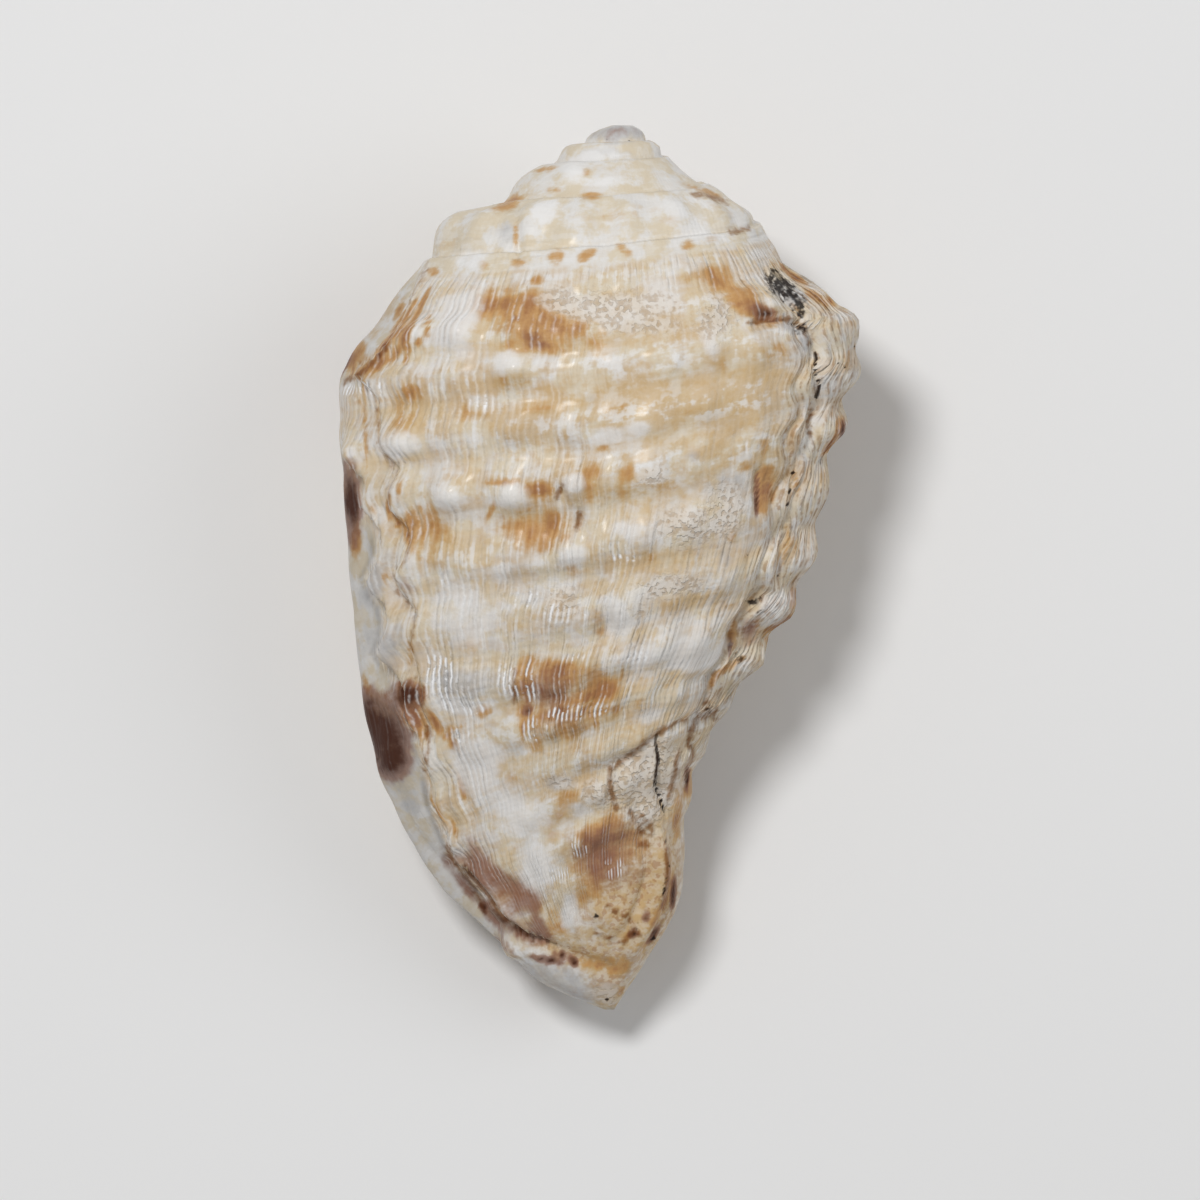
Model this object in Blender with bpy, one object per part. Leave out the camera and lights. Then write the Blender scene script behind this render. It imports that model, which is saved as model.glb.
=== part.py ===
"""A morum sea shell lying on its aperture: one hollow solid.

The sizes are in millimetres and the angles in degrees. +Y points to the apex of the spire, +Z up
from the surface that the shell lies on, and +X to the old lip scar.
The shell is a loft. Its rows follow the spiral cords, and each row passes over the outside, round
the outer lip, into the aperture and out again over the columella. Its columns are growth lines, and
their angle is taken round the coiling axis from +X over the back (+Z) to the lip.
"""

import bmesh
import bpy
import numpy as np

MM = 0.001

# Driving dimensions.
LENGTH = 52.0
SECTION_POWER = 2.25  # roundness of a whorl's section: 2 is an ellipse
LIP_ANGLE = 226.0  # where the outside ends, under the outer lip
COLUMELLA_ANGLE = -94.0  # where the outside starts, at the columella
FLOOR_CUT = 0.35  # how much of the lowest bumps is worn flat, where the shell rests
COLUMNS_OUTSIDE = 59
ROWS_PER_CORD = 3

# Spiral cords on the back: distance from the apex and relative height.
SUTURE = 7.35
CORDS = (
    (9.4, 0.3), (11.9, 0.5), (14.3, 1.15), (17.6, 0.9), (20.7, 1.25), (24.7, 1.0), (28.5, 0.95),
    (31.8, 0.9), (34.7, 0.85), (37.2, 0.75), (39.5, 0.65), (42.0, 0.55), (44.4, 0.45), (46.8, 0.3),
)
CORD_HEIGHT = 0.3
RIB_HEIGHT = 0.22
SPIRE_ROWS = (0.0, 0.3, 0.65, 1.05, 1.35, 2.1, 2.5, 3.3, 4.2, 4.6, 5.5, 6.5, 7.2, 7.5, 8.3)
SPIRE_SUTURES = (1.15, 2.25, 4.35)
TAIL_ROWS = (47.8, 49.2, 50.6, 51.5, 52.0)

# Axial ribs, the old lip scar and the ledges behind the lip: all are angles.
RIB_ANGLES = (-60, -42, -24, 46, 60, 74, 86, 98, 114, 131, 145)
RIB_SPREAD = 5.0
SCAR_CREST = 10.0
SCAR_CRACK = 31.0
SCAR_CRACK_DEPTH = 0.55
LIP_LEDGES = ((143.0, 0.2), (154.0, 0.6))  # angle, and how far the growth steps down
# Where the plain form swells: angle, spread and height.
LIP_SWELLING = (224, 15, 2.5)  # the thick outer lip
SCAR_SWELLING = (SCAR_CREST, 13, 0.75)  # the flange of the old lip scar
FRONT_SWELLING = (-68, 18, 0.65)  # the front's bulge that meets the floor
SUTURE_STEP = 0.35  # how far the last whorl stands proud of the suture that it meets
SPIRE_STEP = 0.3  # the same on the spire
TOOTH_HEIGHT = 0.55
TEETH_PER_CORD = 1.5
GUTTER_DEPTH = 3.2

# How far the cords climb from the back to each side, at each distance from the apex.
CLIMB_LEFT = (
    (0, 0.0), (7.35, 0.7), (14.3, 1.0), (24.7, 1.8), (31.8, 2.7), (37.2, 4.0), (44, 3.0), (52, 0.0),
)
CLIMB_RIGHT = (
    (0, 0.0), (4.3, 0.8), (7.35, 1.5), (11, 2.7), (14.3, 3.0), (28.5, 3.7), (37.2, 3.2), (42, 2.6), (52, 0.0),
)

# Outlines of the plain form: distance from the apex, and the half-widths and half-heights there.
LEFT_EDGE = (
    (0.0, 0.5), (0.3, -0.35), (0.65, -0.85), (1.1, -1.1), (1.35, -1.8), (2.0, -2.5), (3.4, -4.8),
    (4.6, -6.2), (5.2, -8.7), (6.3, -9.6), (7.8, -10.0), (9.6, -11.3), (11.3, -12.9), (13.1, -14.5),
    (15.1, -15.3), (17.8, -15.4), (22.0, -15.1), (26.3, -14.8), (33.4, -14.1), (37.0, -13.3),
    (39.4, -12.5), (42.2, -11.2), (44.0, -10.0), (46.5, -7.7), (48.5, -5.4), (50.2, -3.8),
    (51.3, -1.6), (52.0, 0.1),
)
RIGHT_EDGE = (
    (0.0, 1.8), (0.3, 2.3), (0.65, 2.5), (1.1, 2.6), (1.35, 3.2), (2.1, 3.7), (3.6, 6.0), (4.5, 7.2),
    (5.3, 8.6), (6.9, 9.5), (8.7, 11.3), (10.2, 13.4), (11.5, 14.3), (13.6, 14.4), (16.3, 13.6),
    (20.2, 12.6), (25.4, 11.5), (29.8, 9.4), (35.1, 6.5), (37.8, 5.4), (41.0, 4.8), (44.0, 4.7),
    (46.0, 4.3), (49.2, 2.5), (51.2, 1.2), (52.0, 0.7),
)
AXIS_X = (
    (0.0, 0.8), (2.0, 0.6), (8.0, 0.2), (15.0, 0.0), (25.0, -0.6), (35.0, -1.9), (42.0, -1.8),
    (46.0, -1.2), (49.5, -0.6), (51.3, 0.0), (52.0, 0.4),
)
AXIS_Z = ((0.0, 11.4), (10.0, 10.6), (20.0, 9.8), (30.0, 8.6), (40.0, 6.8), (46.0, 5.4), (52.0, 3.9))
BACK_HEIGHT = (
    (0.0, 0.9), (0.3, 1.5), (0.65, 1.75), (1.1, 1.9), (1.35, 2.5), (2.1, 3.4), (3.6, 5.4), (4.6, 6.5),
    (5.4, 7.4), (7.0, 8.4), (9.6, 9.8), (11.5, 10.7), (13.3, 11.1), (16.0, 11.2), (20.0, 11.0),
    (25.0, 10.3), (30.0, 9.1), (35.0, 7.6), (40.0, 5.8), (44.0, 4.7), (47.0, 3.6), (49.5, 2.5),
    (51.2, 1.3), (52.0, 0.4),
)
FRONT_HEIGHT = (
    (0.0, 0.9), (0.3, 1.5), (0.65, 1.75), (1.1, 1.9), (1.35, 2.5), (2.1, 3.3), (3.6, 5.2), (4.6, 6.3),
    (5.4, 7.2), (7.0, 8.2), (9.6, 9.4), (11.5, 10.1), (15.0, 10.3), (20.0, 10.0), (25.0, 9.4),
    (30.0, 8.7), (35.0, 7.4), (40.0, 5.5), (44.0, 4.2), (47.0, 3.2), (49.5, 2.3), (51.2, 1.2),
    (52.0, 0.4),
)

# The way round the lip and through the aperture: angle, depth under the plain outside, and how far
# the growth has turned there. Between its two ends it runs inside the last whorl.
APERTURE_PATH = (
    (226.0, 0.00, 226.0), (229.5, 0.25, 224.0), (232.5, 0.95, 221.0), (232.5, 2.0, 217.0),
    (228.0, 3.0, 212.0), (218.0, 3.1, 205.0), (203.0, 2.5, 196.0), (182.0, 2.1, 181.0),
    (157.0, 1.9, 157.0), (131.0, 1.9, 131.0), (113.0, 2.4, 112.0), (107.0, 3.9, 98.0),
    (113.0, 5.4, 84.0), (131.0, 6.1, 62.0), (157.0, 6.4, 34.0), (183.0, 6.5, 4.0),
    (207.0, 6.2, -26.0), (225.0, 5.3, -48.0), (237.0, 4.2, -63.0), (246.0, 3.0, -74.0),
    (252.5, 1.7, -82.0), (257.5, 0.6, -88.0), (262.0, 0.1, -92.0), (266.0, 0.0, -94.0),
)
TOOTHED = slice(2, 5)  # the places of the path that carry the lip's teeth


def curve_through(points, at):
    """Smooth values along a curve through the points, which it never overshoots."""
    x, y = np.array(points, float).T
    step = np.diff(x)
    slope = np.diff(y) / step
    turns = slope[:-1] * slope[1:] <= 0
    before = np.where(turns, 1, slope[:-1])
    after = np.where(turns, 1, slope[1:])
    middle = np.where(turns, 0, 2 / (1 / before + 1 / after))
    tangent = np.concatenate([slope[:1], middle, slope[-1:]])
    i = np.clip(np.searchsorted(x, at) - 1, 0, len(step) - 1)
    t = np.clip((at - x[i]) / step[i], 0, 1)
    return (
        (1 + 2 * t) * (1 - t) ** 2 * y[i]
        + t * (1 - t) ** 2 * step[i] * tangent[i]
        + t * t * (3 - 2 * t) * y[i + 1]
        - t * t * (1 - t) * step[i] * tangent[i + 1]
    )


def fade(start, end, at):
    """A smooth change from 0 at start to 1 at end, on whichever side of it end lies."""
    t = np.clip((at - start) / (end - start), 0, 1)
    return t * t * (3 - 2 * t)


def bump(centre, spread, at):
    """A smooth bump of height 1."""
    return np.exp(-(((at - centre) / spread) ** 2))


def swelling(centre, spread, height, angle):
    """A smooth bump on the way round, which ends where it began."""
    away = (angle - centre) % 360
    return height * bump(0, spread, np.minimum(away, 360 - away))


def distance_at(row, turned):
    """Distance from the apex where a row has turned to this angle."""
    on_left = np.maximum(turned - 90, 0) / 90
    on_right = np.maximum(90 - turned, 0) / 90
    slowing = (1 - np.exp(-0.3 * on_right)) / (1 - np.exp(-0.3))
    return row + curve_through(CLIMB_LEFT, row) * on_left - curve_through(CLIMB_RIGHT, row) * slowing


def plain_radius(angle, distance):
    """Radius of the outside round the coiling axis, before its cords and ribs."""
    axis = curve_through(AXIS_X, distance)
    cos = np.cos(np.radians(angle))
    sin = np.sin(np.radians(angle))
    right = curve_through(RIGHT_EDGE, distance) - axis
    left = axis - curve_through(LEFT_EDGE, distance)
    back = curve_through(BACK_HEIGHT, distance)
    front = curve_through(FRONT_HEIGHT, distance)
    across = np.abs(cos) / np.where(cos > 0, right, left)
    up = np.abs(sin) / np.where(sin > 0, back, front)
    radius = (across**SECTION_POWER + up**SECTION_POWER) ** (-1 / SECTION_POWER)
    on_body = fade(8, 13, distance) * fade(47, 40, distance)
    radius = radius + on_body * swelling(*LIP_SWELLING, angle)
    radius = radius + on_body * fade(38, 30, distance) * swelling(*SCAR_SWELLING, angle)
    on_front = fade(9, 14, distance) * fade(38, 27, distance)
    return radius + on_front * swelling(*FRONT_SWELLING, angle)


def cord_number(row):
    """A number that rises by one from the crest of each spiral cord to the next."""
    places = [place for place, _ in CORDS]
    first = SUTURE + 0.9
    return np.interp(row, [first, *places, 49.0], [-0.5, *range(len(CORDS)), len(CORDS) - 0.5])


def relief(angle, row):
    """Height of the cords, ribs, ledges and sutures over the plain outside."""
    strength = np.interp(row, [SUTURE, *(place for place, _ in CORDS), 49.0], [0, *(s for _, s in CORDS), 0])
    wave = strength * np.cos(2 * np.pi * cord_number(row))
    ribs = sum(bump(rib, RIB_SPREAD, angle) for rib in RIB_ANGLES)
    on_scar = bump(SCAR_CREST, 14, angle)
    smooth = fade(-60, -76, angle) * 0.85 + fade(150, 160, angle) * 0.6
    body = fade(SUTURE + 0.5, 12, row) * fade(46, 38, row)
    height = CORD_HEIGHT * wave * (0.8 + 0.8 * ribs + 0.7 * on_scar) + RIB_HEIGHT * body * ribs
    height = height * (1 - smooth)
    scar = fade(SUTURE + 1.5, 12, row) * fade(41, 35, row)
    height = height - scar * SCAR_CRACK_DEPTH * bump(SCAR_CRACK, 2.6, angle)
    behind_lip = fade(SUTURE, 11, row) * fade(50, 43, row)
    size = curve_through(FRONT_HEIGHT, row) / 10
    for ledge, drop in LIP_LEDGES:
        step = fade(ledge - 2, ledge + 2, angle) * fade(ledge + 27, ledge + 5, angle)
        height = height - behind_lip * drop * size * step
    height = height + SUTURE_STEP * fade(SUTURE - 0.15, SUTURE + 0.15, row) * fade(SUTURE + 4, SUTURE + 1, row)
    for suture in SPIRE_SUTURES:
        step = fade(suture - 0.1, suture + 0.2, row) * fade(suture * 1.8, suture + 0.3, row)
        height = height + SPIRE_STEP * step
    return height


def wavy(angle, row):
    """The growth lines' angle, bent over each cord near the lip and near the old lip scar."""
    bend = 2.4 * bump(158, 14, angle) + 1.8 * bump(28, 12, angle)
    body = fade(11, 14, row) * fade(46, 40, row)
    return angle + bend * body * np.cos(2 * np.pi * cord_number(row))


def place(angle, radius, distance):
    """The point at this angle and radius round the axis, and at this distance from the apex."""
    x = curve_through(AXIS_X, distance) + radius * np.cos(np.radians(angle))
    y = LENGTH / 2 - distance
    z = curve_through(AXIS_Z, distance) + radius * np.sin(np.radians(angle))
    return np.stack([x, y, z], -1)


def outside(columns, rows):
    """Points of the outside, one for each row and column."""
    row, column = np.meshgrid(rows, columns, indexing="ij")
    distance = distance_at(row, column)
    angle = wavy(column, row)
    plain = place(angle, plain_radius(angle, distance), distance)
    normal = np.cross(np.gradient(plain, axis=1), np.gradient(plain, axis=0))
    normal /= np.maximum(np.linalg.norm(normal, axis=-1, keepdims=True), 1e-9)
    return plain + normal * relief(column, row)[..., None]


def through_aperture(rows):
    """Points from the outer lip through the aperture to the columella, one line for each row."""
    path = np.array(APERTURE_PATH)
    share = np.linspace(0, 1, len(path))[None, :]
    row = np.array(rows)[:, None]
    # Over the spire this way lies on the outside. On the body it is a deep pocket, and at the canal
    # a gutter.
    body = fade(9.5, 15, row)
    straight = LIP_ANGLE + share * (COLUMELLA_ANGLE + 360 - LIP_ANGLE)
    grown = LIP_ANGLE + share * (COLUMELLA_ANGLE - LIP_ANGLE)
    distance = distance_at(row, grown + (path[:, 2] - grown) * body)
    pocket = body * fade(47, 31, distance)
    angle = straight + (path[:, 0] - straight) * pocket
    size = curve_through(FRONT_HEIGHT, distance) / 10
    depth = path[:, 1] * pocket * size ** (0.3 + 0.11 * path[:, 1])
    depth = depth + GUTTER_DEPTH * size * fade(34, 43, distance) * np.sin(np.pi * share)
    teeth = np.zeros(len(path))
    teeth[TOOTHED] = 1
    teeth = teeth * np.cos(2 * np.pi * TEETH_PER_CORD * cord_number(row)) * fade(13, 17, row) * fade(40, 35, row)
    at_lip = (1 - share) * (1 - body) + fade(0.3, 0, share) * body
    at_columella = share * (1 - body) + fade(0.7, 1, share) * body
    raised = relief(LIP_ANGLE, row) * at_lip + relief(COLUMELLA_ANGLE, row) * at_columella
    radius = plain_radius(angle, distance) - depth + raised + 0.5 * TOOTH_HEIGHT * teeth
    return place(angle + 2.2 * TOOTH_HEIGHT * teeth, radius, distance)


def row_places():
    """Each row's distance from the apex on the back."""
    crests = [place for place, _ in CORDS]
    numbers = np.arange(0, len(crests) - 1 + 1e-6, 1 / ROWS_PER_CORD)
    body = np.interp(numbers, range(len(crests)), crests)
    return np.concatenate([SPIRE_ROWS, body, TAIL_ROWS])


def shell_rings():
    """The rings of points that the shell is lofted through, resting on Z = 0 and centred on its box."""
    rows = row_places()
    columns = np.linspace(COLUMELLA_ANGLE, LIP_ANGLE, COLUMNS_OUTSIDE + 2)[1:-1]
    rings = np.concatenate([outside(columns, rows), through_aperture(rows)], axis=1)
    rings[..., 2] = np.maximum(rings[..., 2] - rings[..., 2].min() - FLOOR_CUT, 0)
    low = rings.min(axis=(0, 1))
    high = rings.max(axis=(0, 1))
    rings[..., :2] -= (low[:2] + high[:2]) / 2
    return rings


def loft(name, rings, collection):
    """A closed mesh through rings of points, with a point in the middle of each end."""
    build = bmesh.new()
    made = [[build.verts.new(point * MM) for point in ring] for ring in rings]
    count = len(made[0])
    for ring, after in zip(made[:-1], made[1:], strict=True):
        for i in range(count):
            j = (i + 1) % count
            build.faces.new((ring[i], after[i], after[j], ring[j]))
    for ring, points in ((made[0], rings[0]), (made[-1], rings[-1])):
        middle = build.verts.new(points.mean(axis=0) * MM)
        for i in range(count):
            build.faces.new((ring[i], ring[(i + 1) % count], middle))
    bmesh.ops.recalc_face_normals(build, faces=build.faces)
    mesh = bpy.data.meshes.new(name)
    build.to_mesh(mesh)
    build.free()
    made_object = bpy.data.objects.new(name, mesh)
    collection.objects.link(made_object)
    return made_object


def shell_material():
    """Cream shell with a soft gloss."""
    material = bpy.data.materials.new("shell")
    material.use_nodes = True
    surface = material.node_tree.nodes["Principled BSDF"]
    surface.inputs["Base Color"].default_value = (0.62, 0.5, 0.37, 1)
    surface.inputs["Roughness"].default_value = 0.35
    return material


def main():
    for old in list(bpy.data.objects):
        bpy.data.objects.remove(old, do_unlink=True)
    collection = bpy.data.collections.new("morum_shell")
    bpy.context.scene.collection.children.link(collection)
    shell = loft("shell", shell_rings(), collection)
    shell.data.materials.append(shell_material())
    for face in shell.data.polygons:
        face.use_smooth = True


main()
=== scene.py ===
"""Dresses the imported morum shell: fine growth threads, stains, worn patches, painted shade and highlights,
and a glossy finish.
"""

import bpy
import numpy as np
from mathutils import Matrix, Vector


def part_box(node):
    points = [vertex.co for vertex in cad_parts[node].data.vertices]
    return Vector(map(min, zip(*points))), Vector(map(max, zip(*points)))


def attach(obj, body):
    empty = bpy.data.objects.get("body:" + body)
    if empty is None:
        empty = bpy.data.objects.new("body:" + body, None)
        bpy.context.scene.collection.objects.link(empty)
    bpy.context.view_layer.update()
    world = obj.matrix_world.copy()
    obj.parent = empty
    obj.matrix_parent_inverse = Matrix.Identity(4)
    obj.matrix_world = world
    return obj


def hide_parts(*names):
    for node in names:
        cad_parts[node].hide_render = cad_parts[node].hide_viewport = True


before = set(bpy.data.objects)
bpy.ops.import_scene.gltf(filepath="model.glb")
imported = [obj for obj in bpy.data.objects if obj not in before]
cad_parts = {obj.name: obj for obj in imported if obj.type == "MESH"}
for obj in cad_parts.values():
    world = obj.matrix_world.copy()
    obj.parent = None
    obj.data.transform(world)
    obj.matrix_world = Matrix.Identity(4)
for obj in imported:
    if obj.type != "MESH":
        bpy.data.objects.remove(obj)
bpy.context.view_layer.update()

bl_info = {
    "name": "Morum shell",
    "version": (1, 0, 0),
    "blender": (4, 5, 0),
    "location": "View3D > Sidebar > Morum shell",
    "description": "Builds a sculptured morum sea shell and its plain studio",
    "category": "Add Mesh",
}

MM = 0.001

# ---------------------------------------------------------------------------------------------
# Form. Lengths are millimetres, angles are degrees round the coiling axis from the scar's side
# over the back to the outer lip, and a row is a distance from the apex on the back.

LENGTH = 52.0
SECTION_POWER = 2.25  # how square a section is: 2 is an ellipse
LIP_ANGLE = 226.0
COLUMELLA_ANGLE = -94.0
COLUMNS_OUTSIDE = 470
COLUMNS_APERTURE = 70
ROWS = 176
THREAD_SPACING = 0.46
THREAD_RADIUS = 13.0  # how far from the axis the threads are that far apart
FLOOR_CUT = 0.35  # how much of the lowest bumps is worn flat

SCAR_CREST = 10.0
SCAR_CRACK = 31.0
SCAR_CRACK_DEPTH = 0.35
LAYER_HEIGHT = 0.1  # of the thin growth layers over the scar
# Swellings of the outside: angle, spread and height.
LIP_SWELLING = (224, 15, 2.5)  # the thick outer lip
SCAR_SWELLING = (SCAR_CREST, 13, 0.75)  # the flange of the old lip scar
FRONT_SWELLING = (-68, 18, 0.65)  # the front's bulge that meets the floor

SUTURE = 7.35
SPIRE_SUTURES = (1.15, 2.25, 4.35)
SUTURE_STEP = 0.35  # how far the last whorl stands proud of the suture that it meets
SPIRE_STEP = 0.3  # the same on the spire
SPIRE_FOLDS_ROUND = 17  # folds in a full turn of the spire's last whorl
SPIRE_FOLD_HEIGHT = 0.13

# Spiral cords: the row of each one's crest and how strong it is.
CORDS = (
    (9.4, 0.3), (11.9, 0.5), (14.3, 1.15), (17.6, 0.9), (20.7, 1.25), (24.7, 1.0), (28.5, 0.95),
    (31.8, 0.9), (34.7, 0.85), (37.2, 0.75), (39.5, 0.65), (42.0, 0.55), (44.4, 0.45), (46.8, 0.3),
)
CORDS_START = SUTURE + 0.9
CORDS_END = 49.0
# Axial ribs: angle, height of its nodes and width.
RIBS = (
    (-60, 0.8, 5), (-42, 0.9, 5), (-24, 0.9, 5), (46, 0.7, 4.5), (60, 0.8, 5), (74, 0.9, 5), (86, 1.0, 4),
    (98, 0.9, 4), (114, 1.5, 5), (131, 1.2, 5), (145, 1.2, 4),
)
# Edges of former lips on the back, as (y, x) upwards.
FLANGE_EDGE = (
    (-22.7, -2.0), (-21.9, -3.4), (-21.4, -4.7), (-19.8, -6.3), (-18.2, -7.5), (-17.2, -8.7),
    (-16.0, -9.0), (-14.0, -9.8), (-11.6, -10.2), (-9.8, -10.8), (-8.6, -11.7), (-7.3, -11.7),
    (-6.1, -12.3), (-4.9, -13.1), (-3.9, -12.7), (-3.1, -12.6), (-2.2, -12.8), (-1.5, -13.4),
    (-0.5, -13.7), (0.9, -13.0), (2.3, -13.1), (3.5, -14.1), (5.1, -13.9), (6.2, -14.8), (8.0, -15.3),
)
INNER_EDGE = (
    (-9.0, -10.4), (-7.0, -10.4), (-5.9, -10.8), (-4.6, -11.1), (-2.5, -10.7), (-1.4, -11.8),
    (-0.3, -12.0), (0.5, -11.3), (1.6, -11.1), (2.5, -11.4), (3.4, -12.3), (4.6, -12.3), (5.8, -11.8),
    (7.0, -12.8), (10.0, -13.1), (11.5, -14.6), (12.3, -13.4), (13.4, -12.3), (15.6, -11.1),
    (18.0, -10.0),
)
# Each edge with the drop outside it and how far that reaches.
LIP_LEDGES = ((FLANGE_EDGE, 1.0, 3.4), (INNER_EDGE, 0.5, 2.2))
# Single bumps and hollows on the back: x and y of the middle, half length, half width, height and,
# where it's turned, the turn of its length from +X towards +Y in degrees.
KNOBS = (
    (-5.2, 12.0, 1.3, 0.8, 0.5), (-0.8, 10.1, 0.4, 0.3, 0.3), (-11.4, 7.2, 1.2, 0.8, 0.4),
    (-14.4, 6.9, 0.6, 0.5, 0.3), (-8.7, 4.3, 0.9, 0.8, 0.5), (-5.3, 4.3, 1.1, 0.8, 0.5),
    (-1.6, 4.9, 0.9, 0.7, 0.4), (1.4, 5.0, 0.8, 0.5, 0.2), (-3.6, 0.3, 0.9, 0.4, 0.25),
    (-1.4, 0.9, 1.0, 0.6, 0.35), (-5.8, 0.0, 0.7, 0.4, 0.25), (10.4, -1.9, 1.0, 1.1, 0.4),
    (9.2, -5.3, 0.6, 0.7, 0.3), (-3.2, 20.8, 1.4, 0.9, 0.12), (-1.6, 23.0, 0.7, 0.5, 0.25),
    (2.3, 8.4, 1.1, 0.6, 0.25), (-13.2, -0.9, 0.7, 0.9, 0.4), (-12.5, -4.7, 0.8, 1.0, 0.4),
    (1.2, -2.6, 1.0, 1.7, 0.25, 10), (-5.0, -20.2, 1.4, 0.7, 0.14, -30), (8.8, 12.2, 1.0, 1.2, 0.3),
    (9.0, 8.2, 0.7, 1.0, 0.35), (-8.6, 14.0, 1.1, 1.3, 0.25), (4.2, 12.0, 1.4, 0.9, 0.2),
    (1.3, -20.6, 1.6, 1.0, 0.3, -35), (3.2, -18.0, 0.7, 1.8, 0.3, -10), (-11.0, -7.6, 0.9, 0.6, 0.25),
    (-2.4, 4.5, 0.2, 0.6, -0.35, 20), (-1.3, 2.7, 0.2, 0.6, -0.35, 10), (10.9, 16.0, 0.9, 0.9, -0.35),
    (9.7, 4.6, 0.6, 1.0, -0.4), (8.6, -3.8, 0.6, 1.0, -0.35, -20), (-13.9, -6.9, 0.3, 0.6, -0.2),
    (-4.4, 7.0, 2.0, 0.7, -0.25), (-3.6, 2.4, 1.6, 0.8, -0.2), (0.8, -16.6, 1.8, 0.9, -0.25, 30),
    (-4.0, 9.2, 1.6, 0.6, 0.15), (6.0, 13.4, 1.6, 0.9, 0.2), (-2.4, 15.4, 1.2, 0.7, -0.12),
    (2.8, 5.4, 0.8, 0.4, 0.15), (-8.0, -6.4, 2.2, 0.9, 0.2), (-2.6, -6.8, 2.2, 0.7, 0.2),
    (5.2, -5.0, 1.9, 0.6, 0.2, 12), (-7.4, 0.2, 0.7, 0.5, 0.2), (-9.6, 0.6, 0.7, 0.5, 0.2),
    (11.2, 9.4, 0.5, 0.8, 0.2), (12.8, 2.2, 0.6, 1.2, 0.2), (-1.2, -16.3, 0.9, 0.5, 0.15, -50),
)
# Ridges and furrows along lines on the back: the line, its height and its half width.
FOLDS = (
    (
        (
            (9.0, 14.2), (10.4, 14.6), (11.6, 14.4), (12.4, 13.8), (12.7, 12.5), (12.5, 11.0),
            (12.7, 9.8), (12.2, 8.0),
        ),
        -0.6, 0.32,
    ),
    (((9.6, 15.6), (10.2, 15.0), (10.5, 14.9)), 0.3, 0.2),
    (((9.05, 5.6), (8.95, 4.4), (9.1, 3.3)), -0.35, 0.25),
    (((12.2, 7.6), (11.6, 6.6), (11.2, 5.2), (11.0, 3.6), (10.6, 1.6), (10.2, -0.6)), -0.3, 0.28),
    (((9.7, -1.6), (8.9, -1.9), (8.2, -3.0), (7.7, -4.8)), -0.4, 0.3),
    (((7.6, -3.4), (7.4, -4.8)), -0.35, 0.25),
    (((1.0, -11.4), (2.3, -10.4), (3.9, -9.2), (4.9, -8.9), (6.6, -8.6)), -0.3, 0.3),
    (((0.6, -8.4), (1.8, -7.8), (3.0, -7.2), (4.2, -6.6), (6.6, -6.4), (8.0, -5.4)), -0.22, 0.4),
    (((-0.1, -1.0), (0.5, -3.6), (1.0, -4.4), (2.2, -4.5)), -0.18, 0.2),
    (((-5.1, -5.4), (-5.0, -7.8), (-4.6, -8.6), (-4.4, -10.2)), -0.22, 0.22),
    (((2.1, 11.4), (2.6, 11.1), (3.2, 11.1), (3.8, 11.5), (4.2, 12.0), (4.5, 12.8)), 0.14, 0.14),
    (
        (
            (-8.4, -16.8), (-7.4, -18.2), (-6.5, -19.3), (-5.9, -20.4), (-4.7, -21.3), (-3.4, -21.9),
            (-1.6, -22.9), (0.6, -23.6),
        ),
        -0.35, 0.4,
    ),
    (((-9.2, -16.6), (-8.0, -18.8), (-6.8, -20.6), (-5.2, -22.4)), 0.3, 0.45),
    (((-9.8, -17.8), (-8.0, -19.8), (-6.2, -21.8)), -0.25, 0.3),
    (((4.3, -15.6), (4.4, -18.0), (3.7, -20.4), (2.5, -22.6)), -0.3, 0.3),
    (((3.3, -15.8), (3.5, -18.0), (2.9, -20.2), (1.7, -22.3)), 0.28, 0.35),
    (((2.3, -15.8), (2.7, -17.8), (2.2, -19.6), (1.0, -21.6)), -0.25, 0.3),
    (((-0.2, -20.0), (0.8, -21.4), (1.6, -22.6)), 0.15, 0.4),
    (((3.3, -9.8), (3.3, -11.7), (3.2, -12.7), (3.7, -14.2)), -0.3, 0.16),
    (((1.6, -14.0), (2.6, -15.6)), -0.3, 0.2),
    (((5.6, -9.0), (5.2, -10.0), (5.5, -11.0), (5.0, -12.2), (4.9, -13.6)), -0.25, 0.25),
    (((-2.5, 4.1), (-2.2, 4.9)), -0.25, 0.2), (((-1.4, 2.3), (-1.2, 3.2)), -0.25, 0.2),
    (((-10.3, -9.4), (-9.6, -11.6), (-9.0, -14.0), (-8.2, -16.4)), -0.2, 0.3),
    (((-9.2, -9.6), (-8.4, -11.4), (-8.0, -13.6)), -0.15, 0.25),
    (((-7.0, -20.4), (-4.2, -23.4), (-1.0, -25.0)), 0.2, 0.5),
    (((-4.9, 17.8), (-4.8, 19.4), (-4.9, 20.6)), -0.2, 0.2),
    (((10.1, 1.9), (9.5, 1.3), (8.6, 0.8)), -0.15, 0.25),
)

# How much farther from the apex each row is a quarter turn to the left of the back, and how much
# nearer to it a quarter turn to the right.
CLIMB_LEFT = (
    (0, 0.0), (7.35, 0.7), (14.3, 1.0), (24.7, 1.8), (31.8, 2.7), (37.2, 4.0), (44, 3.0), (52, 0.0),
)
CLIMB_RIGHT = (
    (0, 0.0), (4.3, 0.8), (7.35, 1.5), (11, 2.7), (14.3, 3.0), (28.5, 3.7), (37.2, 3.2), (42, 2.6),
    (52, 0.0),
)
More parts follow.
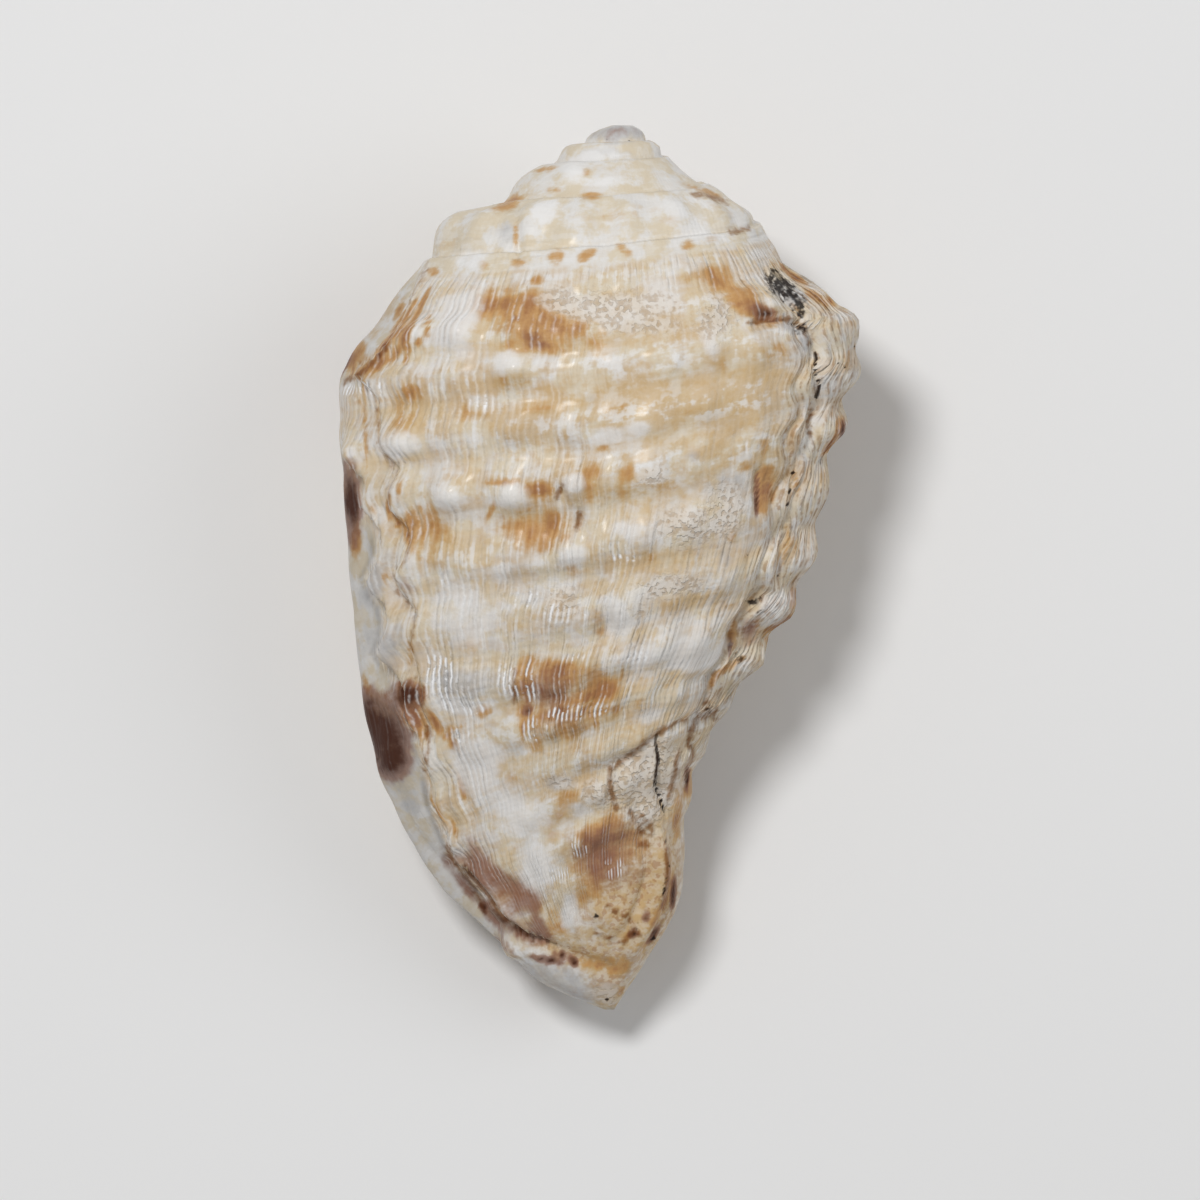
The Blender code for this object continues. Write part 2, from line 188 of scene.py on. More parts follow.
# The outline, the axis and the sections' heights, against the distance from the apex.
LEFT_EDGE = (
    (0.0, 0.5), (0.3, -0.35), (0.65, -0.85), (1.1, -1.1), (1.35, -1.8), (2.0, -2.5), (3.4, -4.8),
    (4.9, -6.2), (5.6, -8.8), (6.3, -9.5), (7.8, -10.0), (9.6, -11.3), (11.3, -12.9), (13.1, -14.5),
    (15.1, -15.3), (17.8, -15.4), (22.0, -15.1), (26.3, -14.8), (33.4, -14.1), (37.0, -13.3),
    (39.4, -12.5), (42.2, -11.2), (44.0, -10.0), (46.5, -7.7), (48.5, -5.4), (50.2, -3.8), (51.3, -1.6),
    (52.0, 0.1),
)
RIGHT_EDGE = (
    (0.0, 1.8), (0.3, 2.3), (0.65, 2.5), (1.1, 2.6), (1.35, 3.2), (2.1, 3.7), (3.6, 6.0), (4.5, 7.2),
    (5.3, 8.6), (6.9, 9.5), (8.7, 11.3), (10.2, 13.4), (11.5, 14.3), (13.6, 14.4), (16.3, 13.6),
    (20.2, 12.6), (25.4, 11.5), (29.8, 9.4), (35.1, 6.5), (37.8, 5.4), (41.0, 4.8), (44.0, 4.7),
    (46.0, 4.3), (49.2, 2.5), (51.2, 1.2), (52.0, 0.7),
)
AXIS_X = (
    (0.0, 0.8), (2.0, 0.6), (8.0, 0.2), (15.0, 0.0), (25.0, -0.6), (35.0, -1.9), (42.0, -1.8),
    (46.0, -1.2), (49.5, -0.6), (51.3, 0.0), (52.0, 0.4),
)
AXIS_Z = ((0.0, 11.4), (10.0, 10.6), (20.0, 9.8), (30.0, 8.6), (40.0, 6.8), (46.0, 5.4), (52.0, 3.9))
BACK_HEIGHT = (
    (0.0, 0.9), (0.3, 1.5), (0.65, 1.75), (1.1, 1.9), (1.35, 2.5), (2.1, 3.4), (3.6, 5.4), (4.6, 6.5),
    (5.4, 7.4), (7.0, 8.4), (9.6, 9.8), (11.5, 10.7), (13.3, 11.1), (16.0, 11.2), (20.0, 11.0),
    (25.0, 10.3), (30.0, 9.1), (35.0, 7.6), (40.0, 5.8), (44.0, 4.7), (47.0, 3.6), (49.5, 2.5),
    (51.2, 1.3), (52.0, 0.4),
)
FRONT_HEIGHT = (
    (0.0, 0.9), (0.3, 1.5), (0.65, 1.75), (1.1, 1.9), (1.35, 2.5), (2.1, 3.3), (3.6, 5.2), (4.6, 6.3),
    (5.4, 7.2), (7.0, 8.2), (9.6, 9.4), (11.5, 10.1), (15.0, 10.3), (20.0, 10.0), (25.0, 9.4),
    (30.0, 8.7), (35.0, 7.4), (40.0, 5.5), (44.0, 4.2), (47.0, 3.2), (49.5, 2.3), (51.2, 1.2),
    (52.0, 0.4),
)
# The way round the lip and through the aperture: angle, depth under the outside, growth angle.
APERTURE_PATH = (
    (226.0, 0.0, 226.0), (229.5, 0.25, 224.0), (232.5, 0.95, 221.0), (232.5, 2.0, 217.0),
    (228.0, 3.0, 212.0), (218.0, 3.1, 205.0), (203.0, 2.5, 196.0), (182.0, 2.1, 181.0),
    (157.0, 1.9, 157.0), (131.0, 1.9, 131.0), (113.0, 2.4, 112.0), (107.0, 3.9, 98.0), (113.0, 5.4, 84.0),
    (131.0, 6.1, 62.0), (157.0, 6.4, 34.0), (183.0, 6.5, 4.0), (207.0, 6.2, -26.0), (225.0, 5.3, -48.0),
    (237.0, 4.2, -63.0), (246.0, 3.0, -74.0), (252.5, 1.7, -82.0), (257.5, 0.6, -88.0),
    (262.0, 0.1, -92.0), (266.0, 0.0, -94.0),
)
TOOTHED = (0.09, 0.17)  # share of the way through the aperture that carries the lip's teeth


def curve_through(points, at):
    """Smooth values along a curve through the points, which it never overshoots."""
    x, y = np.array(points, float).T
    step = np.diff(x)
    slope = np.diff(y) / step
    turns = slope[:-1] * slope[1:] <= 0
    before = np.where(turns, 1, slope[:-1])
    after = np.where(turns, 1, slope[1:])
    middle = np.where(turns, 0, 2 / (1 / before + 1 / after))
    tangent = np.concatenate([slope[:1], middle, slope[-1:]])
    i = np.clip(np.searchsorted(x, at) - 1, 0, len(step) - 1)
    t = np.clip((at - x[i]) / step[i], 0, 1)
    return (
        (1 + 2 * t) * (1 - t) ** 2 * y[i]
        + t * (1 - t) ** 2 * step[i] * tangent[i]
        + t * t * (3 - 2 * t) * y[i + 1]
        - t * t * (1 - t) * step[i] * tangent[i + 1]
    )


def fade(start, end, at):
    """A smooth change from 0 at start to 1 at end, on whichever side of it end lies."""
    t = np.clip((at - start) / (end - start), 0, 1)
    return t * t * (3 - 2 * t)


def bump(centre, spread, at):
    """A smooth bump of height 1."""
    return np.exp(-(((at - centre) / spread) ** 2))


def swelling(centre, spread, height, angle):
    """A smooth bump on the way round, which ends where it began."""
    away = (angle - centre) % 360
    return height * bump(0, spread, np.minimum(away, 360 - away))


def crests(number):
    """1 at every whole number and 0 halfway between two."""
    return 0.5 + 0.5 * np.cos(2 * np.pi * number)


def lattice_noise(u, v, seed):
    """Smooth noise from -1 to 1 with a unit cell, the same for the same seed."""
    values = np.random.default_rng(seed).uniform(-1, 1, (64, 64))
    iu = np.floor(u).astype(int)
    iv = np.floor(v).astype(int)
    fu = u - iu
    fv = v - iv
    fu = fu * fu * (3 - 2 * fu)
    fv = fv * fv * (3 - 2 * fv)
    corner = [[values[(iu + a) % 64, (iv + b) % 64] for b in (0, 1)] for a in (0, 1)]
    low = corner[0][0] * (1 - fv) + corner[0][1] * fv
    high = corner[1][0] * (1 - fv) + corner[1][1] * fv
    return low * (1 - fu) + high * fu


def distance_at(row, turned):
    """Distance from the apex where a row has turned to this angle."""
    on_left = np.maximum(turned - 90, 0) / 90
    on_right = np.maximum(90 - turned, 0) / 90
    slowing = (1 - np.exp(-0.3 * on_right)) / (1 - np.exp(-0.3))
    return row + curve_through(CLIMB_LEFT, row) * on_left - curve_through(CLIMB_RIGHT, row) * slowing


def plain_radius(angle, distance):
    """Radius of the outside round the coiling axis, before its cords and ribs."""
    axis = curve_through(AXIS_X, distance)
    cos = np.cos(np.radians(angle))
    sin = np.sin(np.radians(angle))
    right = curve_through(RIGHT_EDGE, distance) - axis
    left = axis - curve_through(LEFT_EDGE, distance)
    back = curve_through(BACK_HEIGHT, distance)
    front = curve_through(FRONT_HEIGHT, distance)
    across = np.abs(cos) / np.where(cos > 0, right, left)
    up = np.abs(sin) / np.where(sin > 0, back, front)
    radius = (across**SECTION_POWER + up**SECTION_POWER) ** (-1 / SECTION_POWER)
    on_body = fade(8, 13, distance) * fade(47, 40, distance)
    radius = radius + on_body * swelling(*LIP_SWELLING, angle)
    radius = radius + on_body * fade(38, 30, distance) * swelling(*SCAR_SWELLING, angle)
    on_front = fade(9, 14, distance) * fade(38, 27, distance)
    return radius + on_front * swelling(*FRONT_SWELLING, angle)


def cord_number(row):
    """A number that rises by one from the crest of each spiral cord to the next."""
    places = [place for place, _ in CORDS]
    numbers = [-0.5, *range(len(CORDS)), len(CORDS) - 0.5]
    return np.interp(row, [CORDS_START, *places, CORDS_END], numbers)


def smoothed(angle, row):
    """How far the cords and ribs are missing: at the columella and the lip, and in parts of the back."""
    smooth = fade(-60, -76, angle) * 0.85 + fade(150, 160, angle) * 0.6
    # They are weak over the left of the back's lower half and over the middle of its upper half.
    smooth = np.maximum(smooth, 0.65 * fade(98, 118, angle) * fade(25, 30, row))
    return np.maximum(smooth, 0.45 * bump(84, 34, angle) * fade(33, 27, row))


def cords_and_ribs(angle, row, sculpture):
    """Height of the spiral cords and of the axial ribs, with nodes where they cross."""
    places, strengths = zip(*CORDS, strict=True)
    strength = np.interp(row, [SUTURE, *places, CORDS_END], [0, *strengths, 0])
    number = cord_number(row)
    crest = crests(number)
    wave = strength * (2 * crest**0.8 - 1) * (0.75 + 0.7 * lattice_noise(angle / 16, number, 41))
    # Nodes vary in size from rib to rib and cord to cord.
    ribs = sum(height * bump(rib, width, angle) for rib, height, width in RIBS)
    ribs = ribs * (0.85 + 0.45 * lattice_noise(angle / 13, number + 3, 5))
    on_scar = bump(SCAR_CREST, 14, angle)
    body = fade(SUTURE + 0.5, 12, row) * fade(46, 38, row)
    height = sculpture.cord_height * wave * (0.7 + 0.8 * ribs + 0.8 * on_scar)
    height = height + sculpture.rib_height * body * ribs * (0.6 + 0.6 * crest)
    return height * (1 - smoothed(angle, row))


def scar_relief(angle, row):
    """Depth of the scar's crack, and the thin growth layers that stand open side by side over it."""
    scar = fade(SUTURE + 1.5, 12, row) * fade(41, 35, row)
    layer = (angle / 2.7 + 0.9 * lattice_noise(angle / 8, row / 1.6, 31)) % 1
    layers = fade(-16, -8, angle) * fade(36, 29, angle) * (layer * fade(1, 0.75, layer) - 0.4)
    return scar * (LAYER_HEIGHT * layers - SCAR_CRACK_DEPTH * bump(SCAR_CRACK, 2.2, angle))


def spire_relief(angle, row):
    """Height of the step below each suture, and of the folds across the spire's last whorl."""
    height = SUTURE_STEP * fade(SUTURE - 0.12, SUTURE + 0.12, row) * fade(SUTURE + 4, SUTURE + 1, row)
    for suture in SPIRE_SUTURES:
        step = fade(suture - 0.08, suture + 0.15, row) * fade(suture * 1.8, suture + 0.3, row)
        height = height + SPIRE_STEP * step
    folds = np.cos(np.radians(angle) * SPIRE_FOLDS_ROUND + 1.0)
    return height + SPIRE_FOLD_HEIGHT * folds * fade(4.4, 5.2, row) * fade(7.3, 6.6, row)


def relief(angle, row, sculpture):
    """Height of everything that follows the cords and growth lines, over the plain outside."""
    uneven = 0.09 * lattice_noise(angle / 9, row / 2.3, 11) + 0.04 * lattice_noise(angle / 3.5, row / 0.9, 12)
    uneven = uneven * fade(1, 8, row) * (1 - 0.6 * fade(-60, -76, angle)) * fade(52, 47, row)
    grown = cords_and_ribs(angle, row, sculpture) + scar_relief(angle, row)
    return grown + spire_relief(angle, row) + uneven


def beyond_edge(x, y, edge):
    """How far outside a former lip's edge each point lies, and 1 along the edge's own length."""
    edge_y, edge_x = np.array(edge).T
    beyond = np.interp(y, edge_y, edge_x) - x
    return beyond, fade(edge_y[0], edge_y[0] + 1.5, y) * fade(edge_y[-1], edge_y[-1] - 1.5, y)


def turned_offsets(x, y, turn):
    """The same offsets measured along and across a line that is turned by so many degrees."""
    cos = np.cos(np.radians(turn))
    sin = np.sin(np.radians(turn))
    return x * cos + y * sin, y * cos - x * sin


def distance_to(x, y, line):
    """Distance in plan from the nearest point of a line of several stretches."""
    nearest = np.full_like(x, 1e3)
    for (x0, y0), (x1, y1) in zip(line[:-1], line[1:], strict=True):
        run = (x1 - x0) ** 2 + (y1 - y0) ** 2
        share = np.clip(((x - x0) * (x1 - x0) + (y - y0) * (y1 - y0)) / run, 0, 1)
        nearest = np.minimum(nearest, np.hypot(x - x0 - share * (x1 - x0), y - y0 - share * (y1 - y0)))
    return nearest


def knob(x, y, middle_x, middle_y, half_length, half_width, height, turn=0.0):
    """Height of one bump or hollow."""
    along, across = turned_offsets(x - middle_x, y - middle_y, turn)
    return height * np.exp(-((along / half_length) ** 2) - (across / half_width) ** 2)


def local_relief(x, y, back):
    """Height of the former lips' ledges and of the single knobs, hollows and folds of the back."""
    height = np.zeros_like(x)
    for edge, drop, reach in LIP_LEDGES:
        beyond, along_edge = beyond_edge(x, y, edge)
        step = fade(-0.12, 0.22, beyond) * fade(reach, 0.4 * reach, beyond)
        height = height + drop * along_edge * (0.3 * bump(-0.4, 0.35, beyond) - step)
    for numbers in KNOBS:
        height = height + knob(x, y, *numbers)
    for line, rise, width in FOLDS:
        height = height + rise * bump(0, width, distance_to(x, y, line))
    return height * back


def wavy(angle, row):
    """The growth lines' angle, bent over each cord near the lip and near the old lip scar."""
    bend = 1.3 * bump(156, 14, angle) + 2.0 * bump(27, 13, angle) + 0.7 * bump(90, 40, angle)
    body = fade(11, 14, row) * fade(46, 40, row)
    return angle + bend * body * np.cos(2 * np.pi * cord_number(row))


def facing(points):
    """The direction each point of the grid faces, away from the axis."""
    normal = np.cross(np.gradient(points, axis=1), np.gradient(points, axis=0))
    return normal / np.maximum(np.linalg.norm(normal, axis=-1, keepdims=True), 1e-9)


def place(angle, radius, distance):
    """The point at this angle and radius round the axis, and at this distance from the apex."""
    x = curve_through(AXIS_X, distance) + radius * np.cos(np.radians(angle))
    y = LENGTH / 2 - distance
    z = curve_through(AXIS_Z, distance) + radius * np.sin(np.radians(angle))
    return np.stack([x, y, z], -1)


def outside(columns, rows, sculpture):
    """Points of the outside, one for each row and column, with each one's row and growth angle."""
    row, column = np.meshgrid(rows, columns, indexing="ij")
    distance = distance_at(row, column)
    angle = wavy(column, row)
    plain = place(angle, plain_radius(angle, distance), distance)
    normal = facing(plain)
    back = fade(0, 0.25, normal[..., 2])
    height = relief(column, row, sculpture) + local_relief(plain[..., 0], plain[..., 1], back)
    return plain + normal * height[..., None], row, column


def lip_teeth(share, row, teeth_per_cord):
    """The teeth along the inside of the lip, from -1 between two to 1 on a crest."""
    place_in = fade(TOOTHED[0] - 0.05, TOOTHED[0], share) * fade(TOOTHED[1] + 0.06, TOOTHED[1], share)
    wave = 2 * crests(teeth_per_cord * cord_number(row)) ** 1.5 - 1
    return place_in * wave * fade(13, 17, row) * fade(40, 35, row)


def through_aperture(rows, sculpture):
    """Points from the outer lip through the aperture to the columella, with rows and growth angles."""
    share = np.linspace(0, 1, COLUMNS_APERTURE)[None, :]
    known = np.linspace(0, 1, len(APERTURE_PATH))
    path_angle, path_depth, path_turned = (
        curve_through(list(zip(known, values, strict=True)), share)
        for values in zip(*APERTURE_PATH, strict=True)
    )
    row = np.array(rows)[:, None]
    body = fade(9.5, 15, row)
    straight = LIP_ANGLE + share * (COLUMELLA_ANGLE + 360 - LIP_ANGLE)
    grown = LIP_ANGLE + share * (COLUMELLA_ANGLE - LIP_ANGLE)
    distance = distance_at(row, grown + (path_turned - grown) * body)
    pocket = body * fade(47, 31, distance)
    angle = straight + (path_angle - straight) * pocket
    size = curve_through(FRONT_HEIGHT, distance) / 10
    depth = path_depth * pocket * size ** (0.3 + 0.11 * path_depth)
    depth = depth + sculpture.gutter_depth * size * fade(34, 43, distance) * np.sin(np.pi * share)
    teeth = sculpture.tooth_height * lip_teeth(share, row, sculpture.teeth_per_cord)
    at_lip = (1 - share) * (1 - body) + fade(0.3, 0, share) * body
    at_columella = share * (1 - body) + fade(0.7, 1, share) * body
    raised = relief(LIP_ANGLE, row, sculpture) * at_lip
    raised = raised + relief(COLUMELLA_ANGLE, row, sculpture) * at_columella
    radius = plain_radius(angle, distance) - depth + raised + 0.5 * teeth
    points = place(angle + 2.2 * teeth, radius, distance)
    return points, row + 0 * share, straight + (grown - straight) * body


def closed_over_spire(out_points, in_points, rows):
    """The aperture's side moved, over the spire, so that it carries on the outside at both its ends."""
    share = np.linspace(0, 1, in_points.shape[1])[None, :, None]
    over_spire = fade(9, 6.5, np.array(rows))[:, None, None]
    at_lip = 2 * out_points[:, -1:] - out_points[:, -2:-1] - in_points[:, :1]
    at_columella = 2 * out_points[:, :1] - out_points[:, 1:2] - in_points[:, -1:]
    return in_points + over_spire * (at_lip * (1 - share) + at_columella * share)


def spaced(at, density, count):
    """This many of the places, closer together where the density is higher."""
    total = np.cumsum(density)
    return np.interp(np.linspace(total[0], total[-1], count), total, at)


def row_places():
    """Each row's distance from the apex on the back, closer together over the spire's steps."""
    at = np.linspace(0, LENGTH, 4000)
    density = 1 + 0.7 * fade(11, 6, at) + 0.8 * bump(LENGTH, 2, at)
    for suture in (*SPIRE_SUTURES, SUTURE):
        density = density + 3.0 * bump(suture, 0.22, at)
    return spaced(at, density, ROWS)


def column_places():
    """Each column's angle on the outside, closer together over the old scar and the lip's ledges."""
    at = np.linspace(COLUMELLA_ANGLE, LIP_ANGLE, 4000)
    density = 1 + 1.1 * bump(13, 24, at) + 0.6 * bump(152, 18, at)
    return spaced(at, density, COLUMNS_OUTSIDE + 2)[1:-1]


def fitted(points, low, high):
    """The points moved and very slightly stretched, so that they fill this box."""
    now_low = points.min(axis=(0, 1))
    now_high = points.max(axis=(0, 1))
    return low + (points - now_low) * (high - low) / (now_high - now_low)


# ---------------------------------------------------------------------------------------------
# Markings. Each is laid on the back in plan: x and y of its middle, half its length and half its
# width, then how strong it is where that isn't 1 and, where it's turned, the turn of its length
# from +X towards +Y in degrees.

SPIRE_CORD = 1.6  # spacing of the spiral lines' count on the spire
AMBER_TONE = 0.48  # how dark a brown each kind of brown stain is on its own
RUSSET_TONE = 0.8
# A ledge's dark line is painted shadow, and a crease's line is partly painted shadow.
CRACK_REACH = 0.4  # how far a crack's, a crease's and a ledge's dark line reach
CREASE_REACH = 0.5
LEDGE_REACH = 0.6

SAND = (
    (2.0, 9.6, 6.5, 1.7, 0.9), (8.6, 10.2, 2.8, 2.6, 0.9), (-10.4, 9.0, 2.2, 1.8, 0.9),
    (-4.6, 8.4, 2.2, 1.4, 0.9), (4.6, 14.0, 2.6, 1.2, 0.6), (-2.0, 6.4, 4.0, 0.5, 0.5),
    (7.0, 6.6, 2.4, 0.9, 0.8), (-9.6, 1.2, 2.0, 1.5, 0.7), (2.2, 0.4, 3.2, 0.7, 0.7),
    (5.4, -1.8, 2.6, 0.5, 0.8, 15), (1.6, -7.1, 2.4, 0.4, 0.7, 20), (2.2, -9.0, 2.6, 1.1, 0.8, 10),
    (-8.6, -13.6, 1.8, 1.8, 0.6), (-1.6, 4.6, 3.0, 1.4, 0.6), (10.6, 6.2, 1.0, 1.8, 0.8),
    (11.0, 1.6, 0.8, 2.2, 0.7), (-2.4, -12.6, 2.6, 1.4, 0.6), (-6.6, 10.6, 2.0, 0.8, 0.7),
    (2.6, 4.6, 2.0, 0.9, 0.7), (0.5, -4.6, 1.0, 0.4, 0.5), (-12.4, 15.6, 0.5, 2.0, 0.7, -25),
    (-8.7, 19.0, 0.8, 1.0, 0.7), (1.2, 20.6, 3.0, 0.6, 0.4), (-7.0, -4.6, 2.6, 0.5, 0.5),
    (-1.4, -2.2, 1.8, 0.7, 0.5), (-1.6, -10.4, 2.4, 0.9, 0.6),
)
AMBER = (
    (-3.3, 23.4, 0.8, 0.22, 0.9), (-2.6, 22.1, 0.5, 0.2, 0.9), (-0.5, 21.7, 0.75, 0.22),
    (6.2, 22.0, 1.4, 0.25, 0.8, -20), (7.0, 21.0, 0.9, 0.3, 0.6, -30), (0.3, 20.4, 0.6, 0.3, 0.5),
    (4.0, 20.3, 0.7, 0.3, 0.5), (-0.8, 23.1, 0.3, 0.25, 0.9), (-9.7, 17.4, 0.35, 0.3),
    (-6.7, 17.7, 0.5, 0.3, 1.0, -40), (-4.8, 17.9, 0.45, 0.35), (-2.6, 18.2, 0.45, 0.5),
    (-0.8, 18.2, 0.6, 0.3, 1.0, 30), (1.4, 18.5, 0.5, 0.3, 1.0, -35), (3.0, 18.6, 0.5, 0.3, 0.6),
    (5.1, 18.8, 0.4, 0.35), (6.5, 19.2, 0.4, 0.2, 0.8), (-3.6, 16.8, 0.5, 0.2, 0.9),
    (-7.8, 16.3, 0.5, 0.25, 0.8), (-1.0, 17.0, 0.5, 0.3, 0.5), (-4.6, 15.2, 2.2, 1.0, 1.0, -8),
    (-3.8, 14.3, 2.1, 1.1, 1.0, -12), (-5.2, 15.2, 1.8, 0.9, 1.0, -5), (-7.0, 15.4, 0.7, 0.4, 0.8, -10),
    (-2.6, 14.4, 1.4, 0.9, 1.0, -25), (-0.4, 13.3, 0.9, 0.8, 0.9), (-4.8, 10.8, 1.3, 0.45, 0.8),
    (5.2, 16.9, 1.0, 0.4, 0.6), (6.8, 16.8, 0.9, 0.9, 1.0, -30), (8.4, 15.8, 1.4, 0.9, 1.0, -25),
    (10.4, 12.8, 0.6, 0.4, 0.8), (11.3, 11.0, 0.35, 0.6, 0.8), (9.3, 12.4, 1.0, 0.25, 0.8),
    (7.2, 12.0, 0.35, 0.8, 0.6), (5.4, 9.0, 1.2, 0.4, 0.6), (1.2, 9.2, 1.6, 0.3, 0.6),
    (-3.6, 9.4, 1.4, 0.4, 0.7), (-14.1, 9.9, 0.4, 0.7, 0.9), (-11.0, 10.2, 0.8, 0.6, 0.9),
    (-11.4, 8.8, 1.1, 0.9, 0.7), (-7.4, 9.0, 1.0, 0.7, 0.7), (-11.7, 5.0, 0.2, 0.7),
    (-13.3, 3.5, 0.28, 0.7, 0.9, 10), (-10.3, 2.3, 1.2, 1.8), (-8.8, 1.4, 0.8, 0.7, 0.6),
    (-0.5, 5.0, 0.6, 1.2), (-1.6, -0.1, 0.35, 0.45, 0.8), (-0.5, 1.1, 0.35, 0.8, 0.9),
    (-12.5, -0.6, 0.2, 0.5, 0.9, 20), (9.6, 7.2, 0.3, 0.7, 0.9, -10), (9.6, 6.2, 0.6, 0.25, 0.8),
    (8.3, 6.0, 0.6, 0.3, 0.8), (5.0, 5.8, 0.4, 0.7, 0.6), (1.5, 5.3, 0.45, 0.8, 1.0, -20),
    (1.3, 4.3, 0.8, 0.4, 1.0, 20), (3.3, 4.7, 0.7, 0.25, 0.9), (4.3, 4.8, 0.4, 0.2, 0.8),
    (7.7, 1.9, 0.25, 0.35), (8.5, 0.0, 0.15, 0.9, 0.8), (5.0, 0.8, 0.9, 0.5, 0.6),
    (2.9, 0.8, 0.4, 0.5, 0.7), (10.9, 2.3, 0.15, 0.8, 0.8, 15), (10.8, 0.8, 0.15, 0.8, 0.8, -10),
    (11.5, 5.0, 0.15, 0.7, 0.8), (7.2, -2.1, 0.7, 0.3, 0.8), (9.2, -3.3, 0.15, 0.6, 0.9),
    (3.9, -5.8, 0.2, 0.4, 1.0, 30), (4.3, -6.2, 0.25, 0.3), (4.0, -6.6, 0.25, 0.2, 0.9),
    (1.3, -6.0, 0.15, 0.5), (0.0, -3.3, 0.4, 0.9, 0.8), (-11.1, -4.8, 0.2, 1.0, 0.9),
    (-8.5, -9.3, 0.8, 0.25, 0.9), (-6.8, -8.3, 0.65, 0.35, 1.0, -10), (-3.2, -3.9, 0.6, 0.4, 0.5),
    (-7.6, -4.4, 0.4, 0.8, 0.5), (-10.3, -10.0, 0.4, 0.6, 0.8), (-9.9, -11.0, 0.6, 0.5, 0.8),
    (-8.1, -12.7, 0.2, 1.0, 0.9, 15), (-9.0, -12.3, 0.3, 0.7, 0.8), (-9.7, -13.9, 0.16, 0.8, 0.9, 25),
    (-9.1, -15.0, 0.16, 0.8, 0.9, 25), (-8.5, -15.3, 0.16, 0.7, 0.8, 15),
    (-5.9, -11.6, 0.5, 0.9, 0.5, 20), (-3.5, -9.8, 0.8, 0.8), (-2.3, -9.4, 1.1, 0.5),
    (-0.6, -8.9, 1.5, 0.4, 1.0, 5), (-5.0, -12.0, 0.6, 0.5, 0.5), (-2.4, -14.3, 0.7, 0.8, 0.7),
    (-1.8, -13.3, 0.8, 0.4, 0.7), (-2.9, -15.5, 0.35, 0.6, 0.8), (-0.3, -10.8, 0.6, 0.3, 0.6),
    (0.7, -13.4, 0.6, 0.6, 0.6), (-4.9, -16.4, 0.5, 0.14, 0.9, -10), (-6.3, -15.2, 0.3, 0.45, 0.6),
    (-2.4, -6.7, 2.5, 1.1, 0.95), (-2.9, -8.9, 1.8, 0.9, 0.8, 10), (0.4, -16.2, 2.4, 1.6, 0.7, 20),
    (-0.6, -18.8, 1.2, 0.8, 0.6), (-5.4, -18.6, 2.0, 1.0, 0.7, -30), (-0.9, -17.5, 1.0, 1.5),
    (-2.8, -20.4, 0.6, 0.6), (-2.6, -21.2, 0.7, 0.4), (0.4, -23.2, 2.2, 0.5, 0.6, -5),
    (2.2, -21.6, 1.0, 0.7, 0.8, -40), (2.2, -10.9, 0.45, 0.35, 0.7), (5.4, -10.0, 0.2, 0.9, 0.8, 10),
    (1.0, -8.2, 0.45, 0.25, 1.0, 20), (2.0, -7.8, 0.8, 0.16, 0.9, 20), (3.4, -6.95, 0.8, 0.13, 0.8, 25),
    (4.5, -13.6, 0.4, 1.2, 0.9), (3.7, -14.6, 0.4, 0.8, 0.7), (-14.3, 0.6, 0.4, 1.2, 0.6),
    (-12.5, -7.6, 0.8, 0.5, 0.8), (0.2, 7.0, 0.35, 0.2, 0.8), (1.4, 9.4, 0.25, 0.25),
)
